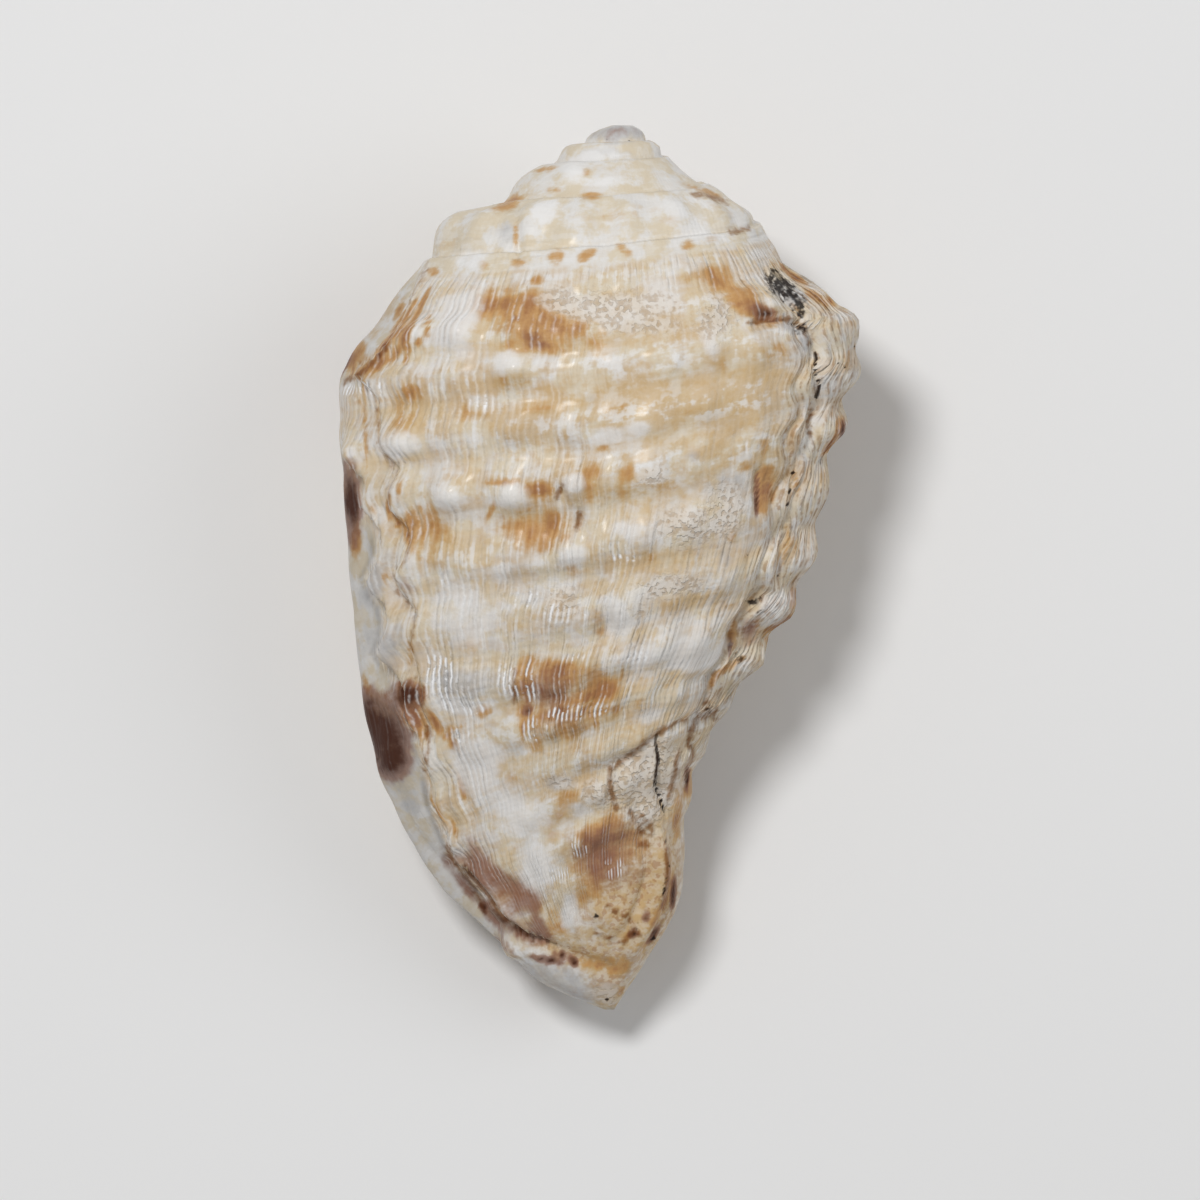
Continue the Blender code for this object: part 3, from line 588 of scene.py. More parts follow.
RUSSET = (
    (-5.3, 21.3, 1.0, 0.4, 1.0, 25), (-4.9, 19.4, 0.2, 1.2, 0.35), (-3.6, 13.5, 2.2, 0.8, 1.0, -6),
    (-1.8, 13.9, 1.2, 0.6), (-5.1, 12.8, 0.8, 0.18, 1.0, -12), (-4.4, 14.8, 1.6, 0.5, 0.7, -10),
    (8.9, 15.1, 1.4, 0.6, 1.0, -18), (7.8, 16.0, 1.9, 0.5, 0.9, -36), (10.6, 17.6, 0.6, 0.25, 1.0, -30),
    (11.5, 17.0, 0.7, 0.25, 1.0, -40), (12.4, 16.1, 0.7, 0.25, 1.0, -40),
    (13.3, 15.7, 0.6, 0.25, 1.0, -10), (-11.5, 13.5, 0.4, 0.7, 0.9, -20), (-10.0, 14.1, 0.16, 0.6, 0.9),
    (-10.5, 13.2, 0.5, 0.16, 0.9, 45), (-11.2, 12.4, 0.16, 0.5, 0.9, -20),
    (-11.7, 15.2, 0.2, 0.7, 0.9, -20), (-12.3, 3.6, 0.16, 0.6), (-11.8, 2.8, 0.5, 0.16, 0.9, -40),
    (-11.0, 2.0, 0.5, 1.3), (-10.2, 1.6, 0.3, 0.9, 0.7), (-5.8, 5.1, 0.9, 0.25),
    (-6.3, 3.4, 0.16, 0.6, 1.0, -25), (-3.5, 4.6, 0.8, 0.45), (-3.9, 2.2, 1.9, 1.1, 0.75, -10),
    (-2.8, 2.8, 1.1, 0.7, 0.5), (9.6, 4.5, 0.55, 1.1), (9.7, 5.7, 0.6, 0.18, 1.0, 12),
    (14.0, 8.3, 0.25, 0.7, 1.0, -15), (13.4, 7.2, 0.6, 0.2, 1.0, 45), (7.7, -4.1, 0.3, 0.9, 1.0, -8),
    (8.0, -5.4, 0.6, 0.2, 1.0, 30), (7.2, -5.95, 0.6, 0.2, 1.0, 20), (6.6, -6.5, 0.2, 0.5, 1.0, -25),
    (11.3, -1.8, 0.2, 0.6), (11.0, -2.9, 0.5, 0.16, 1.0, 30), (10.2, -3.4, 0.6, 0.16, 1.0, 20),
    (9.7, -4.1, 0.16, 0.5, 0.9), (-4.4, -6.5, 0.6, 1.3), (-2.8, -6.0, 1.8, 0.6),
    (-0.7, -6.3, 1.5, 0.8, 0.5, -5), (-1.4, -7.5, 1.3, 0.25, 1.0, 12), (0.4, -7.0, 0.8, 0.5, 1.0, 25),
    (-4.3, -8.4, 0.4, 0.5), (-4.5, -9.4, 0.2, 0.6), (-3.6, -8.7, 0.8, 0.5, 1.0, 15),
    (-1.2, -8.3, 2.4, 0.28, 1.0, 4), (-11.0, -7.3, 0.8, 0.8), (-11.3, -8.6, 0.4, 0.5),
    (-10.7, -9.0, 0.6, 0.5, 0.9, -40), (-9.6, -9.0, 0.7, 0.22, 1.0, -60),
    (-8.8, -10.0, 0.7, 0.22, 1.0, -45), (0.0, -15.1, 1.4, 0.5, 1.0, 28), (1.0, -15.9, 1.5, 0.8, 1.0, 5),
    (0.6, -16.9, 1.8, 1.1, 0.8, 15), (-0.6, -18.2, 1.0, 0.6, 0.6), (5.2, -12.7, 0.35, 1.0),
    (4.5, -14.9, 0.25, 1.0, 0.9), (-14.5, 12.3, 0.6, 0.9, 1.0, -30), (-12.7, 12.9, 1.6, 0.25, 1.0, 52),
    (-11.5, 14.5, 1.4, 0.2, 0.9, 58), (-11.6, 13.0, 1.2, 0.18, 0.8, 60),
    (-10.5, 15.2, 1.3, 0.16, 0.7, 64), (-12.8, 12.0, 1.1, 0.3, 1.0, 30), (-5.0, 15.3, 2.4, 0.7, 0.9, -5),
    (-4.0, 14.3, 1.8, 0.7, 0.9, -10), (-6.2, 14.9, 0.9, 0.5, 0.7), (-13.7, 7.8, 0.16, 4.0, 0.6, 2),
    (-14.3, 1.8, 0.3, 1.2, 0.8), (3.2, -20.6, 0.3, 1.6, 0.7, -28), (4.2, -18.4, 0.2, 1.4, 0.8),
    (-13.7, -6.8, 0.2, 0.7, 0.9, 20), (0.3, -23.4, 1.2, 0.2, 0.8, -10), (1.2, -24.9, 0.3, 0.2),
    (-3.0, -20.1, 0.5, 0.14, 1.0, -10),
)
UMBER = (
    (-14.6, 4.0, 0.55, 2.0, 0.9, 3), (-13.0, -9.5, 1.5, 1.9, 1.0, 12), (-12.2, -11.2, 0.8, 1.0, 0.9, 12),
    (-13.6, -8.0, 0.5, 0.9, 0.5), (-11.2, -7.4, 0.8, 0.7, 0.9), (9.6, 14.9, 0.7, 0.35, 0.9, -20),
    (-11.2, -7.1, 0.4, 0.4, 0.8), (-6.9, -19.9, 0.3, 0.3, 0.8), (14.2, 8.2, 0.12, 0.5, 1.0, -10),
    (9.1, 4.4, 0.12, 1.0, 0.9), (-4.2, -8.2, 0.3, 0.3, 0.8), (7.6, -4.6, 0.14, 0.5),
    (-3.1, -23.0, 0.8, 0.2, 0.9, -8), (-2.2, -22.7, 0.5, 0.16, 0.9, -15), (-1.4, -23.2, 0.3, 0.14, 0.8),
    (3.2, -21.4, 0.2, 0.6, 0.8, -30), (2.0, -21.4, 0.3, 0.4, 0.7, -20), (4.3, -19.2, 0.16, 0.9, 0.9, -5),
    (5.1, -12.2, 0.12, 0.7, 0.9), (-15.0, 12.0, 0.2, 0.7, 1.0, -25), (2.7, -20.4, 0.25, 0.3, 0.8),
)
PLUM = (
    (-7.2, -17.0, 0.5, 1.1, 1.0, 20), (-6.4, -17.9, 0.9, 0.6, 1.0, -20),
    (-5.0, -18.7, 1.2, 0.6, 1.0, -20), (-4.2, -19.4, 0.9, 0.5, 1.0, -30),
    (-6.4, -20.3, 1.2, 0.4, 1.0, -50), (-4.9, -21.3, 1.3, 0.35, 1.0, -35),
    (-3.6, -20.8, 0.4, 0.9, 1.0, 20), (-7.8, -18.9, 1.0, 0.35, 1.0, -55), (8.7, -3.7, 0.6, 0.9, 0.9, -15),
    (-3.6, 13.2, 0.9, 0.5, 0.7), (10.0, 0.0, 1.2, 1.3, 0.3), (-11.3, -1.0, 0.6, 0.8, 0.4),
    (-9.0, -17.0, 0.5, 0.7, 0.6, 35), (-6.8, -17.8, 1.6, 0.9, 1.0, -40), (-4.6, -19.6, 0.6, 0.4, 0.9),
    (-5.1, -20.2, 1.3, 0.7, 0.5, -28), (-3.7, -21.4, 1.2, 0.5, 0.8, -25),
    (-5.6, -22.2, 1.0, 0.3, 0.7, -45), (9.7, 4.6, 0.4, 0.8, 0.6), (0.4, -16.3, 2.2, 1.4, 0.9, 15),
    (0.6, -17.8, 1.6, 0.9, 0.7), (-3.2, -6.9, 2.0, 1.2, 0.75), (-2.6, -8.6, 1.6, 0.6, 0.6, 10),
    # Painted shade: the last mark here adds a little shade on the canal's lip, where it turns away from the
    # light.
    (-10.9, -9.0, 0.5, 0.5, 0.6), (0.9, 25.5, 1.8, 0.5, 0.35), (-2.6, -24.4, 2.4, 0.6, 0.3, -22),
)
SLATE = (
    # Painted shade: the third mark here, on the canal's lip, is partly the lip's own grey and mostly shade
    # painted where the lip turns away from the light.
    (-12.4, -4.7, 0.7, 1.2, 0.9), (-13.1, -0.9, 0.6, 1.0, 0.8), (-2.6, -24.3, 3.0, 0.9, 1.0, -22),
    (-2.4, -12.5, 0.9, 0.5, 0.8), (10.9, 16.0, 1.0, 1.1, 0.9, -40), (11.2, 14.0, 1.0, 0.35, 1.0, -28),
    (12.1, 13.2, 0.3, 0.7), (5.3, 6.5, 0.5, 0.4, 0.7), (-7.8, -6.6, 2.4, 1.1, 0.9),
    (-6.3, -3.4, 0.4, 1.8, 0.6), (-8.6, -3.2, 0.4, 1.6, 0.5), (7.4, 4.4, 1.3, 1.4, 0.6),
    (7.2, 0.6, 0.7, 0.7, 0.5), (4.0, -0.9, 1.8, 0.6, 0.6), (-11.7, -3.4, 0.3, 1.6, 0.6),
    (-8.9, -11.0, 0.6, 1.5, 0.4, 10), (-11.4, -13.2, 0.7, 2.2, 0.6, 25), (-5.4, 20.0, 0.7, 1.0, 0.5),
    (1.0, 24.2, 2.6, 0.4, 0.7), (0.9, 25.5, 1.9, 0.5), (-13.8, -2.2, 0.5, 3.0, 0.5),
)
ENAMEL = (
    (-3.2, 20.8, 1.0, 0.8, 0.9), (-1.6, 23.0, 0.7, 0.6, 0.9), (-5.2, 12.0, 1.2, 0.7),
    (-0.8, 10.1, 0.3, 0.3, 0.9), (-11.4, 7.2, 1.2, 0.8, 0.9), (-14.5, 6.9, 0.5, 0.4, 0.9),
    (-8.7, 4.2, 0.9, 0.7), (-5.3, 4.2, 1.0, 0.8), (-1.6, 4.9, 0.7, 0.6, 0.9), (-3.6, 0.3, 0.8, 0.3, 0.9),
    (-1.4, 0.9, 0.9, 0.6), (-5.8, 0.0, 0.6, 0.3, 0.9), (10.4, -1.9, 0.9, 1.1),
    (1.1, -2.7, 0.9, 1.8, 1.0, 15), (4.8, -5.0, 2.6, 0.7, 0.9, 10), (2.3, 8.2, 0.9, 0.6, 0.8),
    (-8.4, -7.9, 1.6, 0.5, 0.9), (-8.0, -2.6, 2.6, 1.4, 0.6), (1.5, 2.2, 2.0, 0.7, 0.7),
    (-4.6, -14.6, 2.0, 1.6, 0.8), (-3.6, -17.4, 1.6, 1.4, 0.9), (-1.9, -19.8, 0.5, 1.4, 0.8),
    (-7.2, -11.4, 1.5, 1.4), (-1.0, -14.2, 0.8, 0.5, 0.8), (-8.3, 14.4, 1.2, 2.4, 1.0, -12),
    (-7.6, 18.4, 1.6, 1.0, 0.8), (3.0, -8.6, 0.9, 0.5, 0.8, 20), (-2.5, -0.8, 1.4, 0.5, 0.7),
    (0.2, 7.8, 1.2, 0.5, 0.7), (3.3, 5.5, 0.7, 0.4, 0.7), (3.8, 17.4, 1.4, 0.6, 0.6),
    (0.0, 22.6, 2.4, 0.3, 0.6), (6.0, 20.4, 3.0, 1.4, 0.6, -28), (3.4, 16.0, 1.2, 0.9, 0.6),
    (6.6, 13.2, 0.9, 1.0, 0.6), (11.4, 2.6, 0.4, 0.8, 0.6), (-12.6, -16.6, 0.5, 1.6, 0.4, 30),
    (-7.4, -2.4, 3.4, 2.6, 0.5), (0.6, 24.1, 2.6, 0.45, 0.7), (-1.0, 17.0, 1.6, 0.5, 0.4),
    (5.5, -4.9, 2.4, 0.8, 0.9, 10),
)
CHALK = (
    (0.6, 15.3, 3.2, 1.0), (-2.4, 15.6, 0.9, 0.6, 0.9, -10), (6.8, 14.6, 1.1, 1.4, 0.9, -15),
    (2.6, 14.0, 2.4, 0.4, 0.8), (5.0, 2.4, 1.3, 1.0), (7.2, 3.4, 1.1, 1.5, 0.9),
    (4.1, -1.0, 2.0, 0.7, 0.9), (-2.1, -1.8, 1.0, 0.8, 0.8), (0.2, -13.1, 1.2, 0.7, 0.9),
    (-2.4, -12.4, 0.9, 0.4, 0.7), (3.0, -13.8, 1.1, 1.4), (2.2, -12.2, 1.6, 1.6), (3.8, -11.4, 1.1, 1.8),
    (3.0, 5.4, 0.9, 0.5, 0.8), (1.2, -11.3, 0.8, 0.5, 0.6), (2.3, -2.5, 0.7, 0.4, 0.6),
    (10.4, 16.2, 0.9, 0.7, 0.5), (0.5, -25.2, 1.0, 0.7, 0.8),
)
# Dark dirt and lichen, and a few painted shadows.
GRIME_AND_SHADOWS = (
    (10.8, 16.2, 1.1, 0.8, 0.45, -40), (10.2, 16.9, 0.7, 0.5, 1.0, -35), (10.3, 16.3, 0.4, 0.4, 0.9),
    (11.0, 16.2, 0.5, 0.4, 0.9, -50), (11.7, 15.2, 0.4, 0.6, 1.0, 30), (11.7, 14.0, 0.4, 0.25, 0.9),
    # Painted shadows: these three dark marks beside the nodule's furrow stand for shade.
    (8.8, -2.0, 0.45, 0.2), (9.6, -1.7, 0.3, 0.14), (9.4, -2.4, 0.2, 0.14, 0.9),
    (8.2, -5.2, 0.4, 0.4, 0.7), (4.0, -17.3, 0.2, 0.12, 0.8, -20), (3.8, -16.0, 0.3, 0.1, 0.9, -20),
    (3.8, -18.6, 0.16, 0.5, 0.8, -10), (2.1, -21.2, 0.16, 0.35, 0.8, -20),
    (3.2, -21.6, 0.2, 0.3, 0.8, -30), (-0.2, -20.4, 0.2, 0.1, 1.0, -20), (6.4, -8.2, 0.3, 0.2, 0.8, 40),
    (-12.9, -11.2, 0.2, 0.16, 0.8), (12.9, 6.3, 0.16, 0.25, 0.8),
)
# Where the growth threads are faint.
PLAIN = (
    (3.4, 10.6, 5.0, 4.6), (8.2, 10.0, 4.0, 4.6, 0.9), (0.6, 22.6, 7.5, 3.2, 0.8),
    (4.2, 4.6, 3.6, 2.4, 0.9), (0.0, 15.2, 4.0, 1.4, 0.9), (-4.6, 8.6, 2.4, 2.0, 0.6),
    (-5.4, -9.6, 1.6, 2.6, 0.8), (-3.0, -15.0, 3.4, 3.0, 0.9), (-5.0, -20.0, 3.0, 1.2, 0.9, -35),
    (1.4, -21.0, 3.0, 3.0, 0.9), (2.8, -12.6, 2.4, 3.2), (6.4, -4.6, 3.0, 2.0, 0.4, 12),
    (4.6, -0.6, 2.6, 0.9, 0.7), (-5.2, 12.0, 1.4, 0.9, 0.9), (-2.4, -24.0, 3.0, 1.4, 1.0, -20),
    (8.4, -3.6, 0.9, 1.2, 0.9), (9.7, 4.4, 0.8, 1.2, 0.9), (-9.0, 4.6, 2.0, 1.2, 0.5),
)
# The yellowish, grainy ridge that winds round the canal.
FASCIOLE = (
    (1.6, -20.3, 3.0, 2.2, 1.0, -45), (3.7, -17.2, 0.9, 2.2, 1.0, -8), (-1.0, -22.6, 2.8, 0.7, 1.0, -16),
    (2.8, -18.8, 1.4, 1.8), (0.6, -24.6, 1.0, 1.4, 0.9),
)
# Painted highlights: what breaks up single threads with a wet-looking white gleam. The threads are also
# raised higher there.
PAINTED_GLEAMS = (
    (-7.8, -6.2, 2.6, 1.2), (-8.0, -7.4, 1.8, 0.8), (-4.2, -6.6, 0.8, 1.0, 0.9),
    (-3.8, -9.3, 0.9, 0.6, 1.0, 30), (-1.2, -8.35, 2.0, 0.35, 1.0, 4), (-1.3, -16.3, 0.6, 0.45, 0.8, -50),
    (1.0, -17.5, 0.8, 0.7, 0.6, 30), (-13.8, 10.5, 1.4, 0.3, 0.8), (-8.4, -9.7, 0.7, 0.35, 0.9),
    (1.6, 0.7, 1.0, 0.16, 0.9), (-4.4, -1.8, 0.8, 0.6, 0.8), (-2.0, -2.6, 1.2, 0.5, 0.7),
    (-2.5, -17.9, 1.0, 0.5, 0.7), (8.5, 7.1, 0.4, 0.5, 0.8), (-9.0, -0.4, 0.4, 0.6, 0.7),
    (1.5, -5.2, 1.6, 0.3, 0.6, 5), (-4.8, 14.6, 1.4, 0.5, 0.3, -15), (-1.4, -5.1, 0.8, 0.3, 0.8),
    (-6.6, 9.6, 1.2, 0.6, 0.5), (-2.6, -20.0, 0.3, 0.8, 0.5),
)
PITS = (
    (11.25, 5.6, 0.2, 0.24), (11.05, 4.6, 0.17, 0.38), (10.95, 3.7, 0.2, 0.24), (10.4, -0.5, 0.14, 0.24),
    (14.9, 13.0, 0.12, 0.12, 0.9), (13.9, 12.0, 0.12, 0.14, 0.9), (14.3, 11.8, 0.1, 0.1, 0.9),
    (0.4, -25.4, 0.2, 0.2), (0.6, -24.5, 0.14, 0.1, 0.9), (0.9, -25.5, 0.12, 0.1, 0.8),
    (0.4, 25.2, 0.12, 0.1, 0.9), (0.8, 25.25, 0.1, 0.08, 0.8), (1.7, 25.1, 0.12, 0.1, 0.9),
    (1.2, -11.4, 0.12, 0.1, 0.9), (1.05, -4.2, 0.16, 0.08, 0.8), (0.5, 1.8, 0.08, 0.14, 0.8),
    (-4.6, -16.8, 0.14, 0.1, 0.9), (-3.4, -17.2, 0.1, 0.08, 0.8), (8.6, 0.8, 0.14, 0.1, 0.8),
    (-9.6, 17.0, 0.1, 0.1, 0.5), (3.6, -12.1, 0.12, 0.1, 0.9), (3.6, -13.0, 0.1, 0.14, 0.9),
)
# Cracks, as runs of (x, y).
CRACKS = (
    ((12.5, 12.7), (12.6, 12.2), (12.5, 11.8), (12.6, 11.2), (12.8, 10.8), (12.7, 10.3), (12.6, 10.0)),
    (
        (3.3, -9.7), (3.2, -10.0), (3.3, -10.5), (3.4, -11.1), (3.3, -11.7), (3.2, -12.7), (3.5, -13.3),
        (3.7, -14.2),
    ),
)
# Thinner brown lines: sutures and old breaks, with painted shadows at the foot of each ledge, under the cords
# and along the edge of the canal's ridge.
CREASES = (
    ((5.4, 21.9), (6.6, 21.7), (7.4, 21.4)), ((7.6, 19.6), (8.6, 19.9)),
    ((12.3, 9.3), (12.1, 8.5), (12.2, 7.9)),
    (
        (1.0, -11.4), (1.7, -10.9), (2.3, -10.4), (3.0, -9.9), (3.9, -9.2), (4.9, -8.9), (5.9, -8.6),
        (6.6, -8.6), (6.9, -8.1),
    ),
    ((5.6, -9.0), (5.2, -9.8), (5.2, -10.4), (5.5, -11.0), (5.0, -11.7), (5.2, -12.5)),
    ((-8.0, -17.3), (-7.4, -18.2), (-6.5, -19.3), (-5.9, -20.4), (-4.7, -21.2), (-3.9, -21.8)),
    ((-9.0, -16.2), (-8.6, -17.2), (-7.4, -18.8), (-6.8, -20.2)),
    ((-12.2, 13.3), (-13.0, 12.3), (-13.8, 11.5), (-15.0, 11.0)), ((-5.0, -5.9), (-5.0, -7.8)),
    ((-2.5, 4.1), (-2.2, 4.9)), ((-1.4, 2.3), (-1.2, 3.2)),
    ((-10.1, -9.2), (-10.0, -10.4), (-10.3, -11.8)), ((6.2, -7.7), (6.3, -8.4), (6.8, -8.8)),
    ((2.2, -16.2), (3.6, -15.9)),
    ((8.6, 14.3), (9.6, 14.4), (10.4, 14.65), (11.2, 14.5), (11.9, 13.9), (12.2, 13.1)),
    ((1.6, -14.0), (1.9, -14.6), (2.3, -15.2), (2.6, -15.6)), ((2.5, -14.5), (2.9, -14.9), (3.1, -15.5)),
    ((0.6, -11.6), (0.6, -12.8), (1.0, -14.0)), ((4.6, -10.6), (4.4, -12.0), (4.0, -13.4)),
    ((0.4, -19.8), (1.6, -20.4), (2.4, -21.6)), ((3.9, -16.2), (4.0, -18.2), (3.7, -20.0)),
    ((-0.2, -21.4), (1.4, -21.9), (2.0, -21.4)),
)


def spot(x, y, middle_x, middle_y, half_length, half_width, strength=1.0, turn=0.0):
    """How strongly one mark covers each point: most in its middle, fading out past its edge."""
    along, across = turned_offsets(x - middle_x, y - middle_y, turn)
    size = (along / half_length) ** 2 + (across / half_width) ** 2
    return strength * np.exp(-0.8 * size**1.2)


def mark_field(x, y, marks):
    """How strongly any of these marks covers each point, from 0 to 1."""
    bare = np.ones_like(x)
    for mark in marks:
        bare = bare * (1 - spot(x, y, *mark))
    return 1 - bare


def line_field(x, y, lines, reach):
    """1 on any of these lines, falling evenly to 0 at this distance from it."""
    nearest = np.min([distance_to(x, y, line) for line in lines], axis=0)
    return np.clip(1 - nearest / reach, 0, 1)


def ledge_fields(x, y):
    """The sloping flank outside the former lips' edges, and the painted grey shadow line at the foot of the
    larger.
    """
    beyond, along_edge = beyond_edge(x, y, FLANGE_EDGE)
    inner_beyond, along_inner = beyond_edge(x, y, INNER_EDGE)
    inner_flank = fade(0.0, 0.4, inner_beyond) * fade(9.5, 11.5, y) * along_inner
    flank = np.maximum(fade(0.0, 0.4, beyond) * along_edge, inner_flank)
    # Painted shadow: a soft grey line along the foot of the larger ledge.
    foot = bump(0.3, 0.3, beyond) * along_edge * (0.6 + 0.4 * lattice_noise(y / 1.3, x / 1.3, 51))
    return flank, foot


def dark_line_fields(x, y):
    """The cracks with their pits, and the fainter creases, which are partly painted shadow, with the painted
    shadow line at the foot of the smaller ledge.
    """
    inner_line = [(edge_x, edge_y) for edge_y, edge_x in INNER_EDGE]
    crack = np.maximum(line_field(x, y, CRACKS, CRACK_REACH), mark_field(x, y, PITS))
    # Painted shadow: a dark line along the foot of the smaller ledge.
    ledge = 0.7 * line_field(x, y, [inner_line], LEDGE_REACH)
    return crack, np.maximum(line_field(x, y, CREASES, CREASE_REACH), ledge)


def masks(points, row, turned, on_outside, back):
    """Every point's growth numbers, stains, wear and places of painted light and shade, as named arrays of
    four values.
    """
    x, y = points[..., 0], points[..., 1]
    sides = 1 - back
    thread = np.radians(turned - COLUMELLA_ANGLE) * THREAD_RADIUS / THREAD_SPACING
    cord = cord_number(row) + np.minimum(row - CORDS_START, 0) / SPIRE_CORD
    crest = crests(np.maximum(cord, -0.5))
    ragged = 5 * lattice_noise(row / 2.2, turned / 90, 61) + 2 * lattice_noise(row / 0.6, turned / 8, 62)
    callus = np.where(on_outside, fade(-62, -74, turned + ragged), 1.0) * fade(6.5, 9.0, row)
    keep = 1 - callus
    scar = fade(-16, -6, turned) * fade(40, 30, turned) * fade(9, 12, row) * fade(42, 36, row) * on_outside
    # Away from the back the same kinds of stain are strewn along the cords and growth lines. They
    # leave out the line under the spire where the angle's count starts and ends.
    met = fade(0, 16, np.minimum(turned - COLUMELLA_ANGLE, COLUMELLA_ANGLE + 360 - turned))
    strewn = lattice_noise(thread / 9, cord * 1.3, 21) * met
    patches = lattice_noise(thread / 17, cord * 0.7 + 9, 22) * met

    def laid(marks, elsewhere=0.0):
        return (mark_field(x, y, marks) * back + sides * elsewhere) * keep

    amber = laid(AMBER, fade(0.0, 0.6, strewn))
    russet = laid(RUSSET, fade(0.25, 0.75, strewn * 0.6 + patches * 0.5))
    umber = laid(UMBER, fade(0.6, 0.95, patches))
    brown = np.maximum(AMBER_TONE * amber, RUSSET_TONE * russet)
    crack, crease = dark_line_fields(x, y)
    flank, foot = ledge_fields(x, y)
    faint = np.maximum(mark_field(x, y, PLAIN), flank) * back
    threaded = (1 - 0.85 * faint) * on_outside * fade(0.5, 8, turned - COLUMELLA_ANGLE)
    sets = {
        "growth": (thread, cord, callus, crest),
        "stain": (brown, laid(PLUM), laid(SLATE), laid(ENAMEL)),
        "wear_and_shade": (laid(CHALK), laid(GRIME_AND_SHADOWS), crack * back * keep, crease * back * keep),
        # The tint's second value marks where the painted highlights go.
        "tint": (laid(SAND, fade(-0.1, 0.5, -strewn)), laid(PAINTED_GLEAMS), scar, threaded),
        # The dark set holds umber stains, the painted ledge shadow, the flank that takes painted shade, and
        # the canal's ridge.
        "dark": (umber, foot * back, flank * back, laid(FASCIOLE, fade(44, 48, row))),
    }
    return {name: np.stack(np.broadcast_arrays(*values), -1) for name, values in sets.items()}


# ---------------------------------------------------------------------------------------------
# Node helpers and shared effects.


class Tree:
    """A short way to add nodes and links to a node tree."""

    def __init__(self, tree):
        self.tree = tree
        self.made = 0

    def add(self, kind, inputs=(), **settings):
        node = self.tree.nodes.new(kind)
        node.location = (200 * (self.made // 6) - 2400, -180 * (self.made % 6))
        self.made += 1
        for key, value in settings.items():
            setattr(node, key, value)
        for key, value in dict(inputs).items():
            self.feed(node.inputs[key], value)
        return node

    def feed(self, socket, value):
        if isinstance(value, bpy.types.NodeSocket):
            self.tree.links.new(value, socket)
        else:
            socket.default_value = value

    def math(self, operation, *values):
        node = self.add("ShaderNodeMath", operation=operation)
        for socket, value in zip(node.inputs, values, strict=False):
            self.feed(socket, value)
        return node.outputs[0]

    def chain(self, operation, values):
        result = values[0]
        for value in values[1:]:
            result = self.math(operation, result, value)
        return result

    def times(self, *values):
        return self.chain("MULTIPLY", values)

    def plus(self, *values):
        return self.chain("ADD", values)

    def most(self, *values):
        return self.chain("MAXIMUM", values)

    def without(self, value):
        """What this value leaves of 1."""
        return self.math("SUBTRACT", 1.0, value)

    def swing(self, noise, strength):
        """Noise from 0 to 1 as an even swing to both sides of 0."""
        return self.times(self.math("SUBTRACT", noise, 0.5), strength)

    def mix(self, factor, low, high, blend="MIX"):
        node = self.add("ShaderNodeMix", data_type="RGBA", blend_type=blend, clamp_factor=True)
        self.feed(node.inputs["Factor"], factor)
        self.feed(node.inputs["A"], low)
        self.feed(node.inputs["B"], high)
        return node.outputs["Result"]

    def ramp(self, value, low, high, to_low=0.0, to_high=1.0):
        """A smooth change between two values, and level past them."""
        node = self.add("ShaderNodeMapRange", interpolation_type="SMOOTHSTEP", clamp=True)
        for socket, setting in zip(node.inputs, (value, low, high, to_low, to_high), strict=False):
            self.feed(socket, setting)
        return node.outputs[0]

    def noise(self, vector, scale, detail=3.0, roughness=0.55, dimensions="3D"):
        node = self.add("ShaderNodeTexNoise", noise_dimensions=dimensions)
        self.feed(node.inputs["Vector"], vector)
        self.feed(node.inputs["Scale"], scale)
        self.feed(node.inputs["Detail"], detail)
        self.feed(node.inputs["Roughness"], roughness)
        return node.outputs["Fac"]

    def attribute(self, name):
        """The four values that are kept on the mesh under this name."""
        node = self.add("ShaderNodeAttribute", attribute_name=name)
        parts = self.add("ShaderNodeSeparateColor", {"Color": node.outputs["Color"]})
        return (*parts.outputs[:3], node.outputs["Alpha"])

    def group(self, group, inputs):
        node = self.add("ShaderNodeGroup")
        node.node_tree = group
        for key, value in inputs.items():
            self.feed(node.inputs[key], value)
        return node.outputs


def new_group(name, inputs, outputs):
    """An empty shader group of plain values, with these (name, default) in and these names out."""
    group = bpy.data.node_groups.new(name, "ShaderNodeTree")
    for socket_name, default in inputs:
        socket = group.interface.new_socket(socket_name, in_out="INPUT", socket_type="NodeSocketFloat")
        socket.default_value = default
    for socket_name in outputs:
        group.interface.new_socket(socket_name, in_out="OUTPUT", socket_type="NodeSocketFloat")
    tree = Tree(group)
    return group, tree, tree.add("NodeGroupInput").outputs, tree.add("NodeGroupOutput").inputs


def stain_group():
    """Gives a soft mask the ragged, streaky edge of a stain that was laid down with the growth."""
    group, tree, given, out = new_group(
        "Shell stain edge",
        (
            ("Mask", 0.0), ("Cloud", 0.5), ("Streak", 0.5), ("Raggedness", 1.5),
            ("Streakiness", 0.6), ("Bare", 0.2), ("Full", 0.7),
        ),
        ("Tone", "Cover"),
    )
    cloud = tree.swing(given["Cloud"], given["Raggedness"])
    streak = tree.swing(given["Streak"], given["Streakiness"])
    # Bare shell stays bare, however strong the noise is.
    edge = tree.times(tree.plus(cloud, streak), tree.ramp(given["Mask"], 0.02, 0.3))
    value = tree.plus(given["Mask"], edge)
    tree.feed(out["Tone"], value)
    tree.feed(out["Cover"], tree.ramp(value, given["Bare"], given["Full"]))
    return group


